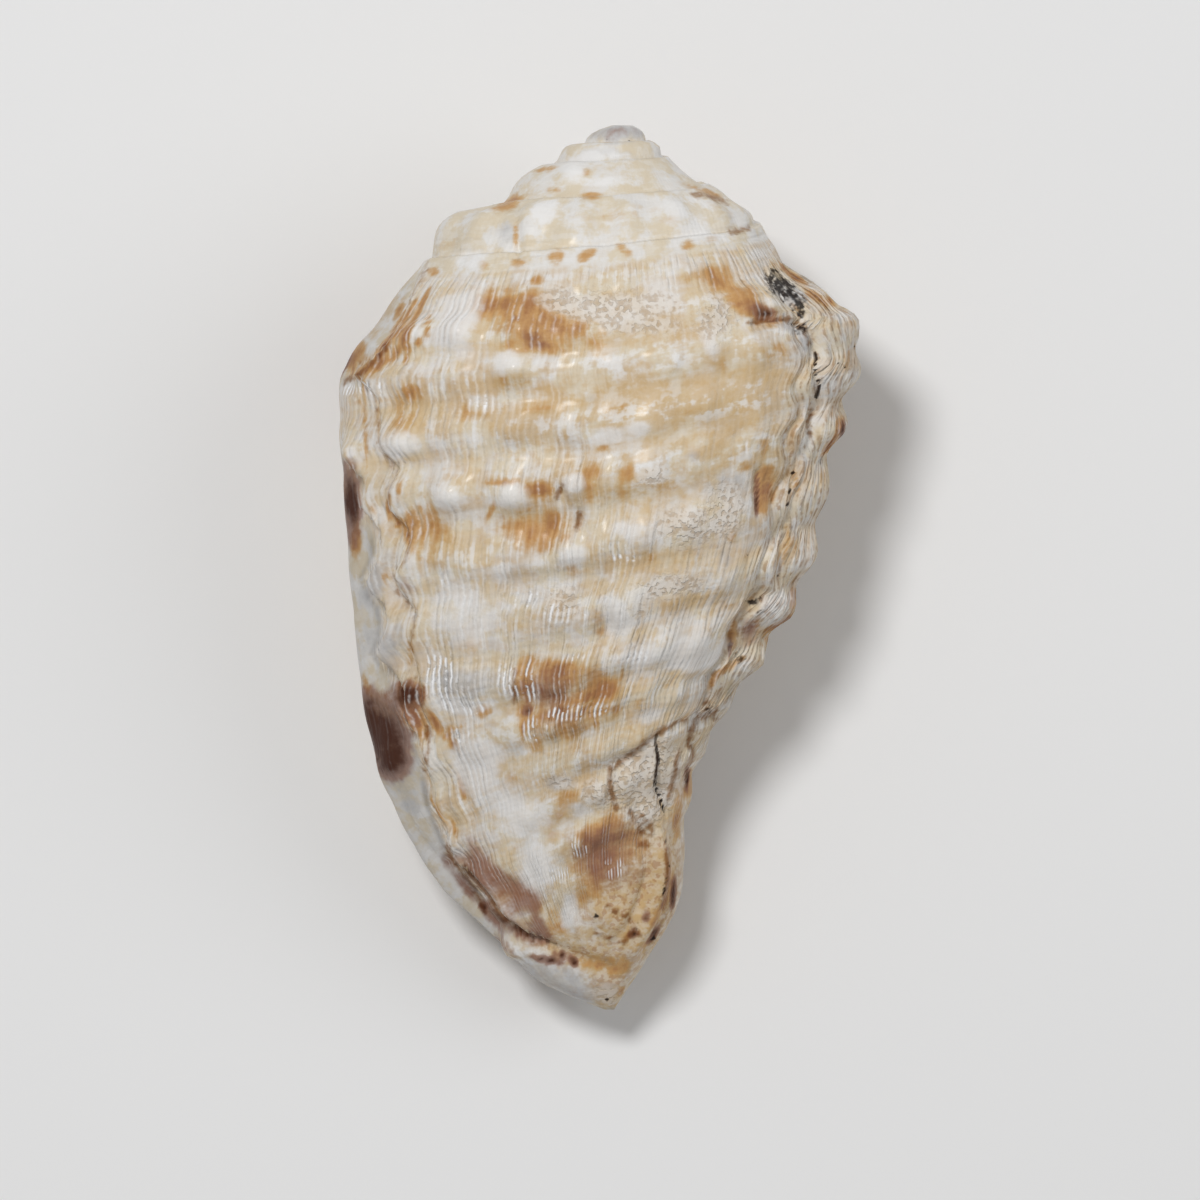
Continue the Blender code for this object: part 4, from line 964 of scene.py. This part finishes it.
def thread_group():
    """The fine raised threads along the growth lines, and the finer spiral lines that cross them."""
    group, tree, given, out = new_group(
        "Shell growth threads",
        (
            ("Thread", 0.0), ("Cord", 0.0), ("Cloud", 0.5), ("Depth", 0.05),
            ("Waver", 0.5), ("Spiral Depth", 0.01),
        ),
        ("Height", "Crest"),
    )
    number = tree.plus(given["Thread"], tree.swing(given["Cloud"], given["Waver"]))
    wave = tree.math("SINE", tree.times(number, 2 * np.pi))
    crest = tree.plus(tree.times(wave, 0.5), 0.5)
    # Every few threads one stands higher than its neighbours, and each fades in and out on its way.
    place_on = {"X": number, "Y": tree.times(given["Cord"], 1.2)}
    place_on = tree.add("ShaderNodeCombineXYZ", place_on).outputs[0]
    uneven = tree.ramp(tree.noise(place_on, 0.42, 1.0, 0.5, "2D"), 0.35, 0.65, 0.35, 1.15)
    spiral = tree.math("SINE", tree.times(given["Cord"], 14 * np.pi))
    height = tree.times(crest, uneven, given["Depth"])
    height = tree.plus(height, tree.times(spiral, given["Spiral Depth"]))
    tree.feed(out["Height"], height)
    tree.feed(out["Crest"], tree.times(crest, tree.math("MINIMUM", uneven, 1.0)))
    return group


def surface_base(name):
    """A new material and its Principled shader."""
    material = bpy.data.materials.new(name)
    material.use_nodes = True
    return material, material.node_tree.nodes["Principled BSDF"]


# ---------------------------------------------------------------------------------------------
# The shell's material, in layers from the ground colour to the dirt, the painted shade and the painted
# highlights, and its finest relief.


class Skin(Tree):
    """The material's nodes, with the masks, noises and threads that all of its layers read."""

    def __init__(self, tree, thread_depth):
        super().__init__(tree)
        place_m = self.add("ShaderNodeTexCoord").outputs["Object"]
        to_mm = {0: place_m, 1: (1 / MM, 1 / MM, 1 / MM)}
        where = self.add("ShaderNodeVectorMath", to_mm, operation="MULTIPLY").outputs[0]
        self.thread, self.cord, self.callus, self.crest = self.attribute("growth")
        self.brown, self.plum, self.slate, self.enamel = self.attribute("stain")
        self.chalk, self.grime_and_shade, self.crack, self.crease = self.attribute("wear_and_shade")
        self.sand, self.painted_gleam, self.scar, self.threaded = self.attribute("tint")
        self.umber, self.foot, self.flank, self.tail = self.attribute("dark")
        self.cloud = self.noise(where, 0.5, 4.0, 0.6)
        self.fine = self.noise(where, 1.7, 2.0, 0.6)
        self.pores = self.noise(where, 3.2, 1.0, 0.5)
        self.growth = self.noise(self.along(0.75, 0.8, 3.0), 1.0, 2.0, 0.65, "2D")
        wisps = self.noise(self.along(0.14, 3.0, 5.0), 1.0, 3.0, 0.6, "2D")
        self.bands = self.noise(self.along(0.09, 2.4, 8.0), 1.0, 2.0, 0.65, "2D")
        # The growth lines give way to wisps along the cords where the threads are faint and on the
        # spire, and to even mottling at the canal's end.
        self.spire = self.ramp(self.cord, -0.2, -0.5)
        canal = self.most(self.tail, self.ramp(self.cord, 12.4, 13.2))
        self.ends = self.most(self.spire, canal)
        self.whorl = self.without(self.ends)
        lined = self.times(self.threaded, self.whorl, 0.55)
        wisps = self.plus(self.times(wisps, 0.6), self.times(self.fine, 0.4))
        wispy = self.plus(self.times(self.growth, lined), self.times(wisps, self.without(lined)))
        self.streaks = self.plus(self.times(wispy, self.without(canal)), self.times(self.fine, canal))
        self.stain_edge = stain_group()
        threads = self.group(thread_group(), {
            "Thread": self.thread, "Cord": self.cord, "Cloud": self.cloud,
            "Depth": thread_depth, "Waver": 1.6, "Spiral Depth": 0.004,
        })
        self.thread_crest = threads["Crest"]
        self.thread_height = threads["Height"]

    def along(self, thread_scale, cord_scale, offset):
        """Places for noise that is drawn out along the growth lines or along the cords."""
        number = self.plus(self.times(self.thread, thread_scale), offset)
        parts = {"X": number, "Y": self.times(self.cord, cord_scale)}
        return self.add("ShaderNodeCombineXYZ", parts).outputs[0]

    def stain(self, mask, ragged=2.0, streaky=1.0, bare=0.25, full=0.75):
        return self.group(self.stain_edge, {
            "Mask": mask, "Cloud": self.cloud, "Streak": self.streaks, "Raggedness": ragged,
            "Streakiness": streaky, "Bare": bare, "Full": full,
        })

    def tinted(self, under, cover, strength, over):
        return self.mix(self.times(cover, strength), under, tuple(over))

    def shaded(self, under, cover, strength, by):
        return self.mix(self.times(cover, strength), under, tuple(by), "MULTIPLY")


def ground(skin, colours):
    """Warm and cool cream, with tan clouds in the hollows, tan streaks and whiter crests."""
    open_shell = skin.without(skin.flank)
    colour = skin.mix(skin.ramp(skin.cloud, 0.42, 0.56), tuple(colours.cream), tuple(colours.pale))
    hollow = skin.ramp(skin.math("SUBTRACT", skin.bands, skin.times(skin.crest, 0.1)), 0.34, 0.62)
    colour = skin.tinted(colour, skin.times(hollow, open_shell, skin.whorl), 0.5, colours.sand)
    quiet = skin.most(skin.spire, skin.scar)
    calm = skin.most(quiet, skin.times(skin.threaded, 0.5))
    tan = skin.times(skin.ramp(skin.streaks, 0.42, 0.74), open_shell, skin.ramp(calm, 0.0, 1.0, 1.0, 0.3))
    colour = skin.tinted(colour, tan, 0.6, colours.sand)
    colour = skin.tinted(colour, skin.stain(skin.sand, 2.4, 1.8, 0.2, 0.9)["Cover"], 0.75, colours.sand)
    freckles = skin.times(skin.ramp(skin.fine, 0.5, 0.68), open_shell, skin.without(skin.spire))
    colour = skin.tinted(colour, freckles, 0.25, colours.honey)
    white = skin.times(skin.ramp(skin.crest, 0.2, 0.8, 0.4, 1.0), skin.ramp(skin.streaks, 0.5, 0.4))
    colour = skin.tinted(colour, white, 0.6, colours.enamel)
    return skin.tinted(colour, skin.stain(skin.slate, 1.4, 0.6, 0.2, 0.9)["Cover"], 0.72, colours.slate)


def canal_ridge(skin, colours, colour):
    """The yellowish ridge round the canal, with brown grains."""
    grains = skin.ramp(skin.plus(skin.pores, skin.swing(skin.cloud, 0.8)), 0.52, 0.64)
    colour = skin.tinted(colour, skin.tail, 0.75, colours.sand)
    colour = skin.tinted(colour, skin.times(skin.tail, skin.ramp(skin.fine, 0.42, 0.6)), 0.5, colours.honey)
    return skin.tinted(colour, skin.times(skin.tail, grains), 0.6, colours.russet)


def stains(skin, colours, colour):
    """Amber, russet, plum and umber stains and white places, with how brown and how dark they are."""
    brown = skin.stain(skin.brown, 1.5, 1.2)["Tone"]
    colour = skin.tinted(colour, skin.ramp(brown, 0.06, 0.42), 0.6, colours.honey)
    colour = skin.tinted(colour, skin.ramp(brown, 0.24, 0.62), 0.9, colours.amber)
    colour = skin.tinted(colour, skin.ramp(brown, 0.5, 0.95), 0.95, colours.russet)
    colour = skin.tinted(colour, skin.stain(skin.plum, 1.2, 0.9, 0.15, 1.0)["Cover"], 0.9, colours.plum)
    dark = skin.stain(skin.umber, 1.1, 0.5)["Tone"]
    colour = skin.tinted(colour, skin.ramp(dark, 0.05, 0.4), 0.8, colours.plum)
    colour = skin.tinted(colour, skin.ramp(dark, 0.3, 0.95), 0.95, colours.umber)
    white = skin.stain(skin.enamel, 1.8, 0.8, 0.25, 0.8)["Cover"]
    return skin.tinted(colour, white, 0.8, colours.enamel), brown, dark


def thread_colours(skin, colours, colour, brown):
    """Threads paler than the grooves between them, the more so where the shell is stained: partly their own
    colour, partly painted shade in the grooves and painted highlight on the crests.
    """
    stained = skin.ramp(skin.most(brown, skin.plum), 0.2, 0.6)
    between = skin.without(skin.thread_crest)
    between = skin.times(between, skin.ramp(skin.cloud, 0.4, 0.6), skin.threaded, skin.whorl)
    # Partly the stain lying in the grooves, partly painted shade in the grooves between threads.
    colour = skin.shaded(colour, between, skin.ramp(stained, 0.0, 1.0, 0.2, 0.35), colours.groove)
    # Partly the threads' own paler colour, partly painted highlight on their crests.
    ridge = skin.math("POWER", skin.thread_crest, 3.0)
    ridge = skin.times(ridge, skin.ramp(skin.fine, 0.38, 0.58), skin.threaded, skin.whorl)
    colour = skin.tinted(colour, ridge, skin.ramp(stained, 0.0, 1.0, 0.4, 0.5), colours.enamel)
    # Open layers over the scar hold brown lines.
    layers = skin.ramp(skin.thread_crest, 0.4, 0.05)
    layers = skin.times(layers, skin.ramp(skin.fine, 0.4, 0.6), skin.scar)
    return skin.shaded(colour, layers, 0.5, colours.crease)


def wear_and_shade(skin, colours, colour):
    """Painted shade on the lip's flank and a painted shadow at the ledge's foot, chalky worn places, the
    callus, brown lines that are partly painted shadow, dirt with a few painted shadows, and cracks, with how
    far each one covers.
    """
    # Painted shade: the sloping flank outside the former lips' edges is darkened with slate grey, as if it
    # were turned away from the light.
    colour = skin.shaded(colour, skin.flank, 0.3, colours.slate)
    chalk = skin.stain(skin.chalk, 2.4, 0.0, 0.35, 0.75)["Cover"]
    worn = skin.mix(skin.ramp(skin.pores, 0.3, 0.58), tuple(colours.pit), tuple(colours.chalk))
    colour = skin.mix(skin.times(chalk, 0.7), colour, worn)
    coated = skin.mix(skin.ramp(skin.cloud, 0.3, 0.7), tuple(colours.callus), tuple(colours.pale))
    colour = skin.mix(skin.callus, colour, coated)
    # Brown lines along the creases, partly the shell's own and partly painted shadow.
    crease = skin.times(skin.ramp(skin.plus(skin.crease, skin.swing(skin.fine, 0.9)), 0.45, 1.0), 0.9)
    colour = skin.shaded(colour, crease, 1.0, colours.crease)
    # Painted shadow along the foot of the larger ledge, multiplied in with slate grey.
    colour = skin.shaded(colour, skin.ramp(skin.foot, 0.2, 1.0), 0.7, colours.slate)
    # Dark dirt and lichen, with a few painted shadows beside a nodule.
    dirt_and_shade = skin.plus(skin.grime_and_shade, skin.swing(skin.math("MINIMUM", skin.pores, skin.fine), 2.4))
    grime_and_shade = skin.times(skin.ramp(dirt_and_shade, 0.2, 0.85), skin.ramp(skin.grime_and_shade, 0.05, 0.3))
    colour = skin.tinted(colour, grime_and_shade, 0.94, colours.grime_and_shade)
    split = skin.plus(skin.crack, skin.swing(skin.fine, 0.3))
    crack = skin.times(skin.ramp(split, 0.66, 0.92), skin.ramp(skin.crack, 0.05, 0.3))
    return skin.tinted(colour, crack, 0.97, colours.crack), chalk, crease, grime_and_shade, crack


def thread_highlights(skin, colours, colour):
    """Painted highlights: short, wet-looking white runs along single threads."""
    painted_highlight = skin.stain(skin.painted_gleam, 1.4, 0.2, 0.2, 0.55)["Cover"]
    painted_highlight = skin.times(painted_highlight, skin.math("POWER", skin.thread_crest, 1.5))
    painted_highlight = skin.times(painted_highlight, skin.ramp(skin.fine, 0.38, 0.47))
    return skin.tinted(colour, painted_highlight, 1.0, colours.painted_gleam)


def gloss(skin, surface, dull, dark):
    """A thin clear coat, which is missing from dull, dark and sloping places."""
    skin.feed(surface.inputs["Roughness"], skin.ramp(dull, 0.0, 1.0, 0.36, 0.7))
    surface.inputs["Specular IOR Level"].default_value = 0.03
    surface.inputs["Coat Roughness"].default_value = 0.2
    surface.inputs["Coat IOR"].default_value = 1.42
    bare = skin.most(dull, skin.most(skin.ramp(dark, 0.2, 0.6), skin.times(skin.flank, 0.6)))
    coat = skin.times(skin.ramp(bare, 0.0, 0.8, 0.32, 0.0), skin.ramp(skin.cloud, 0.35, 0.6, 1.0, 0.5))
    skin.feed(surface.inputs["Coat Weight"], coat)


def fine_relief(skin, surface, crease, crack):
    """Threads, wrinkles, pits and cracks, in millimetres."""
    bare = skin.without(skin.most(skin.callus, skin.times(skin.chalk, 0.8)))
    on_threads = skin.times(skin.threaded, bare)
    on_threads = skin.times(on_threads, skin.ramp(skin.ends, 0.0, 1.0, 1.0, 0.3))
    height = skin.times(skin.thread_height, on_threads, skin.ramp(skin.painted_gleam, 0.2, 0.8, 1.0, 2.2))
    wrinkle = skin.swing(skin.growth, skin.ramp(skin.scar, 0.0, 1.0, 0.12, 0.4))
    wrinkle = skin.times(wrinkle, skin.without(skin.callus), skin.whorl)
    height = skin.plus(height, skin.times(wrinkle, skin.ramp(skin.threaded, 0.0, 1.0, 0.3, 1.0)))
    ridges = skin.noise(skin.along(0.06, 4.0, 2.0), 1.0, 1.0, 0.5, "2D")
    height = skin.plus(height, skin.times(skin.swing(ridges, 0.14), skin.spire, skin.threaded))
    height = skin.plus(height, skin.swing(skin.fine, 0.05))
    height = skin.plus(height, skin.times(skin.ramp(skin.pores, 0.4, 0.52), skin.chalk, 0.05))
    height = skin.math("SUBTRACT", height, skin.times(crease, 0.05))
    height = skin.math("SUBTRACT", height, skin.times(crack, 0.2))
    raised = skin.add("ShaderNodeBump", {"Height": height, "Distance": MM, "Strength": 1.0})
    skin.feed(surface.inputs["Normal"], raised.outputs[0])


def sculptured_material(colours, sculpture):
    """Cream shell with stains, chalky worn places, dirt in its cracks, painted shade and painted highlights,
    and a gloss over its threads.
    """
    material, surface = surface_base("sculptured shell")
    skin = Skin(material.node_tree, sculpture.thread_depth)
    colour = ground(skin, colours)
    colour = canal_ridge(skin, colours, colour)
    colour, brown, dark = stains(skin, colours, colour)
    colour = thread_colours(skin, colours, colour, brown)
    colour, chalk, crease, grime_and_shade, crack = wear_and_shade(skin, colours, colour)
    colour = thread_highlights(skin, colours, colour)
    skin.feed(surface.inputs["Base Color"], colour)
    gloss(skin, surface, skin.most(chalk, grime_and_shade, crack), dark)
    fine_relief(skin, surface, crease, crack)
    return material


# ---------------------------------------------------------------------------------------------
# Add-on: what a user can change, the operators and the panel.


def colour_property(name, description, default):
    return bpy.props.FloatVectorProperty(
        name=name, description=description, default=default, subtype="COLOR", size=4, min=0.0, max=1.0
    )


def number_property(name, description, default, least=0.0, most=1.0, unit="NONE"):
    return bpy.props.FloatProperty(
        name=name, description=description, default=default, min=least, max=most, unit=unit
    )


class MorumSculpture(bpy.types.PropertyGroup):
    cord_height: number_property("Cord height", "Height of the spiral cords, in millimetres", 0.2)
    rib_height: number_property("Rib height", "Height of the axial ribs, in millimetres", 0.36)
    tooth_height: number_property("Tooth height", "Height of the lip's teeth, in millimetres", 0.55)
    teeth_per_cord: number_property("Teeth per cord", "The lip's teeth for each spiral cord", 1.5, 0.5, 3.0)
    gutter_depth: number_property(
        "Gutter depth", "Depth of the canal's gutter, in millimetres", 3.2, 0.0, 5.0
    )
    thread_depth: number_property(
        "Thread depth", "Height of the growth threads, in millimetres", 0.045, 0.0, 0.2
    )


class MorumColours(bpy.types.PropertyGroup):
    cream: colour_property("Cream", "Warm ground colour", (0.68, 0.60, 0.47, 1))
    pale: colour_property("Pale", "Cool ground colour", (0.73, 0.71, 0.68, 1))
    sand: colour_property("Sand", "Soft tan clouds and streaks", (0.61, 0.44, 0.24, 1))
    honey: colour_property("Honey", "Yellowish-brown tint at the edges of stains", (0.55, 0.35, 0.14, 1))
    # Also the colour of the painted shade on the lip's flank and of the painted shadow at the larger ledge's
    # foot.
    slate: colour_property("Slate", "Bluish-grey places", (0.46, 0.46, 0.47, 1))
    enamel: colour_property("Enamel", "White crests and glossy white places", (0.81, 0.80, 0.79, 1))
    # The colour of the painted highlights along single threads.
    painted_gleam: colour_property("Gleam", "Wet-looking crests of single threads", (0.94, 0.94, 0.95, 1))
    amber: colour_property("Amber", "Light stains", (0.55, 0.31, 0.12, 1))
    russet: colour_property("Russet", "Reddish-brown stains", (0.40, 0.20, 0.09, 1))
    umber: colour_property("Umber", "Dark brown stains", (0.07, 0.024, 0.014, 1))
    plum: colour_property("Plum", "Pinkish-brown stains", (0.29, 0.14, 0.09, 1))
    # Also the colour of the painted shade in the grooves between threads.
    groove: colour_property("Groove", "What multiplies the grooves between threads", (0.60, 0.42, 0.25, 1))
    # Also colours the painted shadows along the creases and along the smaller ledge's foot.
    crease: colour_property("Crease", "What multiplies the shell along brown lines", (0.44, 0.27, 0.15, 1))
    chalk: colour_property("Chalk", "Worn, pitted places", (0.74, 0.68, 0.61, 1))
    pit: colour_property("Pit", "Small pits of the worn places", (0.50, 0.39, 0.28, 1))
    callus: colour_property("Callus", "Smooth layer round the aperture", (0.76, 0.68, 0.57, 1))
    # Also the colour of a few painted shadows beside a nodule.
    grime_and_shade: colour_property("Grime", "Dark dirt and lichen", (0.02, 0.016, 0.015, 1))
    crack: colour_property("Crack", "Dirt in the cracks", (0.035, 0.017, 0.01, 1))


class MorumStudio(bpy.types.PropertyGroup):
    floor_colour: colour_property("Floor", "Colour of the floor", (0.80, 0.80, 0.80, 1))
    key_power: number_property("Key light", "Power of the main soft light", 1.85, 0.0, 100.0, "POWER")
    fill_power: number_property("Fill light", "Power of the fill light", 0.45, 0.0, 100.0, "POWER")
    world_strength: number_property(
        "Surroundings", "Strength of the even light from all round", 0.3, 0.0, 2.0
    )
    camera_height: number_property(
        "Camera height", "Height of the camera over the floor", 0.9, 0.2, 5.0, "LENGTH"
    )


def mesh_from_rings(name, rings):
    """A closed mesh through rings of points, with a point in the middle of each end."""
    row_count, count = rings.shape[:2]
    ends = np.stack([rings[0].mean(axis=0), rings[-1].mean(axis=0)])
    points = np.concatenate([rings.reshape(-1, 3), ends]) * MM
    i = np.arange(count)
    j = (i + 1) % count
    start = (np.arange(row_count - 1) * count)[:, None]
    quads = np.stack([start + i, start + count + i, start + count + j, start + j], -1).reshape(-1, 4)
    last = (row_count - 1) * count
    caps = np.concatenate([
        np.stack([i, j, np.full(count, row_count * count)], -1),
        np.stack([last + j, last + i, np.full(count, row_count * count + 1)], -1),
    ])
    mesh = bpy.data.meshes.new(name)
    mesh.from_pydata(points.tolist(), [], quads.tolist() + caps.tolist())
    mesh.update()
    mesh.polygons.foreach_set("use_smooth", np.ones(len(mesh.polygons), bool))
    return mesh


def store(mesh, name, values):
    """Keeps four numbers for each point of the mesh. The two end points take those of their rings."""
    flat = values.reshape(-1, 4)
    ends = np.stack([values[0].mean(axis=0), values[-1].mean(axis=0)])
    attribute = mesh.attributes.new(name, "FLOAT_COLOR", "POINT")
    attribute.data.foreach_set("color", np.concatenate([flat, ends]).astype(np.float32).ravel())


def shell_mesh(name, sculpture, box):
    """The shell's mesh, filling this box in millimetres, with its masks kept on it."""
    rows = row_places()
    columns = column_places()
    out_points, out_rows, out_turned = outside(columns, rows, sculpture)
    in_points, in_rows, in_turned = through_aperture(rows, sculpture)
    in_points = closed_over_spire(out_points, in_points, rows)
    rings = np.concatenate([out_points, in_points], axis=1)
    low, high = box
    rings = fitted(rings, low - (0, 0, FLOOR_CUT), high)
    rings[..., 2] = np.maximum(rings[..., 2], low[2])
    row = np.concatenate([out_rows, in_rows], axis=1)
    turned = np.concatenate([out_turned, in_turned], axis=1)
    on_outside = np.arange(rings.shape[1])[None, :] < len(columns)
    back = fade(-0.05, 0.12, facing(rings)[..., 2]) * on_outside
    mesh = mesh_from_rings(name, rings)
    for mask_name, values in masks(rings, row, turned, on_outside, back).items():
        store(mesh, mask_name, values)
    return mesh


class MORUM_OT_shell(bpy.types.Operator):
    """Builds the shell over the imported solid, with its stains, worn places and gloss"""

    bl_idname = "morum.shell"
    bl_label = "Shell"

    def execute(self, context):
        scene = context.scene
        box = [np.array(corner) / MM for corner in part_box("shell")]
        mesh = shell_mesh("morum_shell", scene.morum_sculpture, box)
        mesh.materials.append(sculptured_material(scene.morum_colours, scene.morum_sculpture))
        piece = bpy.data.objects.new("morum_shell", mesh)
        scene.collection.objects.link(piece)
        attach(piece, "root")
        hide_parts("shell")
        return {"FINISHED"}


# The studio, in metres.
FLOOR_SIDE = 3.0
KEY_PLACE = (-0.14, 0.19, 0.53)
KEY_SIZE = 0.13
FILL_PLACE = (0.35, 0.1, 0.35)
FILL_SIZE = 0.35
LIGHTS_AIM = (0, 0, 0.01)
SENSOR_WIDTH = 36
VIEW_WIDTH = 0.0705  # what the picture spans at the height of the shell's outline
OUTLINE_HEIGHT = 0.010
EYE_ASIDE = -0.0018  # how far the camera is from over the origin, along Y


def make_floor(scene, colour):
    half = FLOOR_SIDE / 2
    corners = [(-half, -half, 0), (half, -half, 0), (half, half, 0), (-half, half, 0)]
    mesh = bpy.data.meshes.new("floor")
    mesh.from_pydata(corners, [], [(0, 1, 2, 3)])
    floor = bpy.data.objects.new("floor", mesh)
    scene.collection.objects.link(floor)
    material, surface = surface_base("floor")
    surface.inputs["Base Color"].default_value = tuple(colour)
    surface.inputs["Roughness"].default_value = 0.9
    mesh.materials.append(material)


def soft_light(scene, name, position, size, power):
    light = bpy.data.lights.new(name, "AREA")
    light.shape = "DISK"
    light.size = size
    light.energy = power
    lamp = bpy.data.objects.new(name, light)
    lamp.location = position
    lamp.rotation_euler = (Vector(LIGHTS_AIM) - Vector(position)).to_track_quat("-Z", "Y").to_euler()
    scene.collection.objects.link(lamp)


def surround(scene, strength):
    """Even light from all round, in front of a backdrop that looks white."""
    world = bpy.data.worlds.new("surroundings")
    world.use_nodes = True
    tree = Tree(world.node_tree)
    backdrop = world.node_tree.nodes["Background"]
    light_path = tree.add("ShaderNodeLightPath").outputs
    seen = tree.most(light_path["Is Camera Ray"], light_path["Is Glossy Ray"])
    seen = tree.most(seen, light_path["Is Transmission Ray"])
    tree.feed(backdrop.inputs["Strength"], tree.ramp(seen, 0.0, 1.0, strength, 1.0))
    backdrop.inputs["Color"].default_value = (1, 1, 1, 1)
    scene.world = world


def look_down(scene, height):
    """The camera, straight over the shell."""
    camera = bpy.data.cameras.new("camera")
    camera.sensor_width = SENSOR_WIDTH
    camera.lens = SENSOR_WIDTH * (height - OUTLINE_HEIGHT) / VIEW_WIDTH
    camera.clip_start = 0.01
    camera.clip_end = 10
    eye = bpy.data.objects.new("camera", camera)
    eye.location = (0.0, EYE_ASIDE, height)
    scene.collection.objects.link(eye)
    scene.camera = eye
    scene.view_settings.view_transform = "Standard"


class MORUM_OT_studio(bpy.types.Operator):
    """Makes the pale floor, the soft lights and the camera that looks straight down"""

    bl_idname = "morum.studio"
    bl_label = "Studio"

    def execute(self, context):
        scene = context.scene
        studio = scene.morum_studio
        make_floor(scene, studio.floor_colour)
        soft_light(scene, "key", KEY_PLACE, KEY_SIZE, studio.key_power)
        soft_light(scene, "fill", FILL_PLACE, FILL_SIZE, studio.fill_power)
        surround(scene, studio.world_strength)
        look_down(scene, studio.camera_height)
        return {"FINISHED"}


class MORUM_PT_panel(bpy.types.Panel):
    bl_idname = "MORUM_PT_panel"
    bl_label = "Morum shell"
    bl_space_type = "VIEW_3D"
    bl_region_type = "UI"
    bl_category = "Morum shell"

    def draw(self, context):
        for name, _ in SETTINGS:
            settings = getattr(context.scene, name)
            for key in settings.__annotations__:
                self.layout.prop(settings, key)
        for operator in OPERATORS:
            self.layout.operator(operator.bl_idname)


OPERATORS = (MORUM_OT_shell, MORUM_OT_studio)
SETTINGS = (
    ("morum_sculpture", MorumSculpture),
    ("morum_colours", MorumColours),
    ("morum_studio", MorumStudio),
)


def register():
    for made_class in (*(kind for _, kind in SETTINGS), *OPERATORS, MORUM_PT_panel):
        bpy.utils.register_class(made_class)
    for name, kind in SETTINGS:
        setattr(bpy.types.Scene, name, bpy.props.PointerProperty(type=kind))


def unregister():
    for name, _ in SETTINGS:
        delattr(bpy.types.Scene, name)
    for made_class in reversed((*(kind for _, kind in SETTINGS), *OPERATORS, MORUM_PT_panel)):
        bpy.utils.unregister_class(made_class)


def main():
    register()
    bpy.ops.morum.shell()
    bpy.ops.morum.studio()


if __name__ == "__main__":
    main()
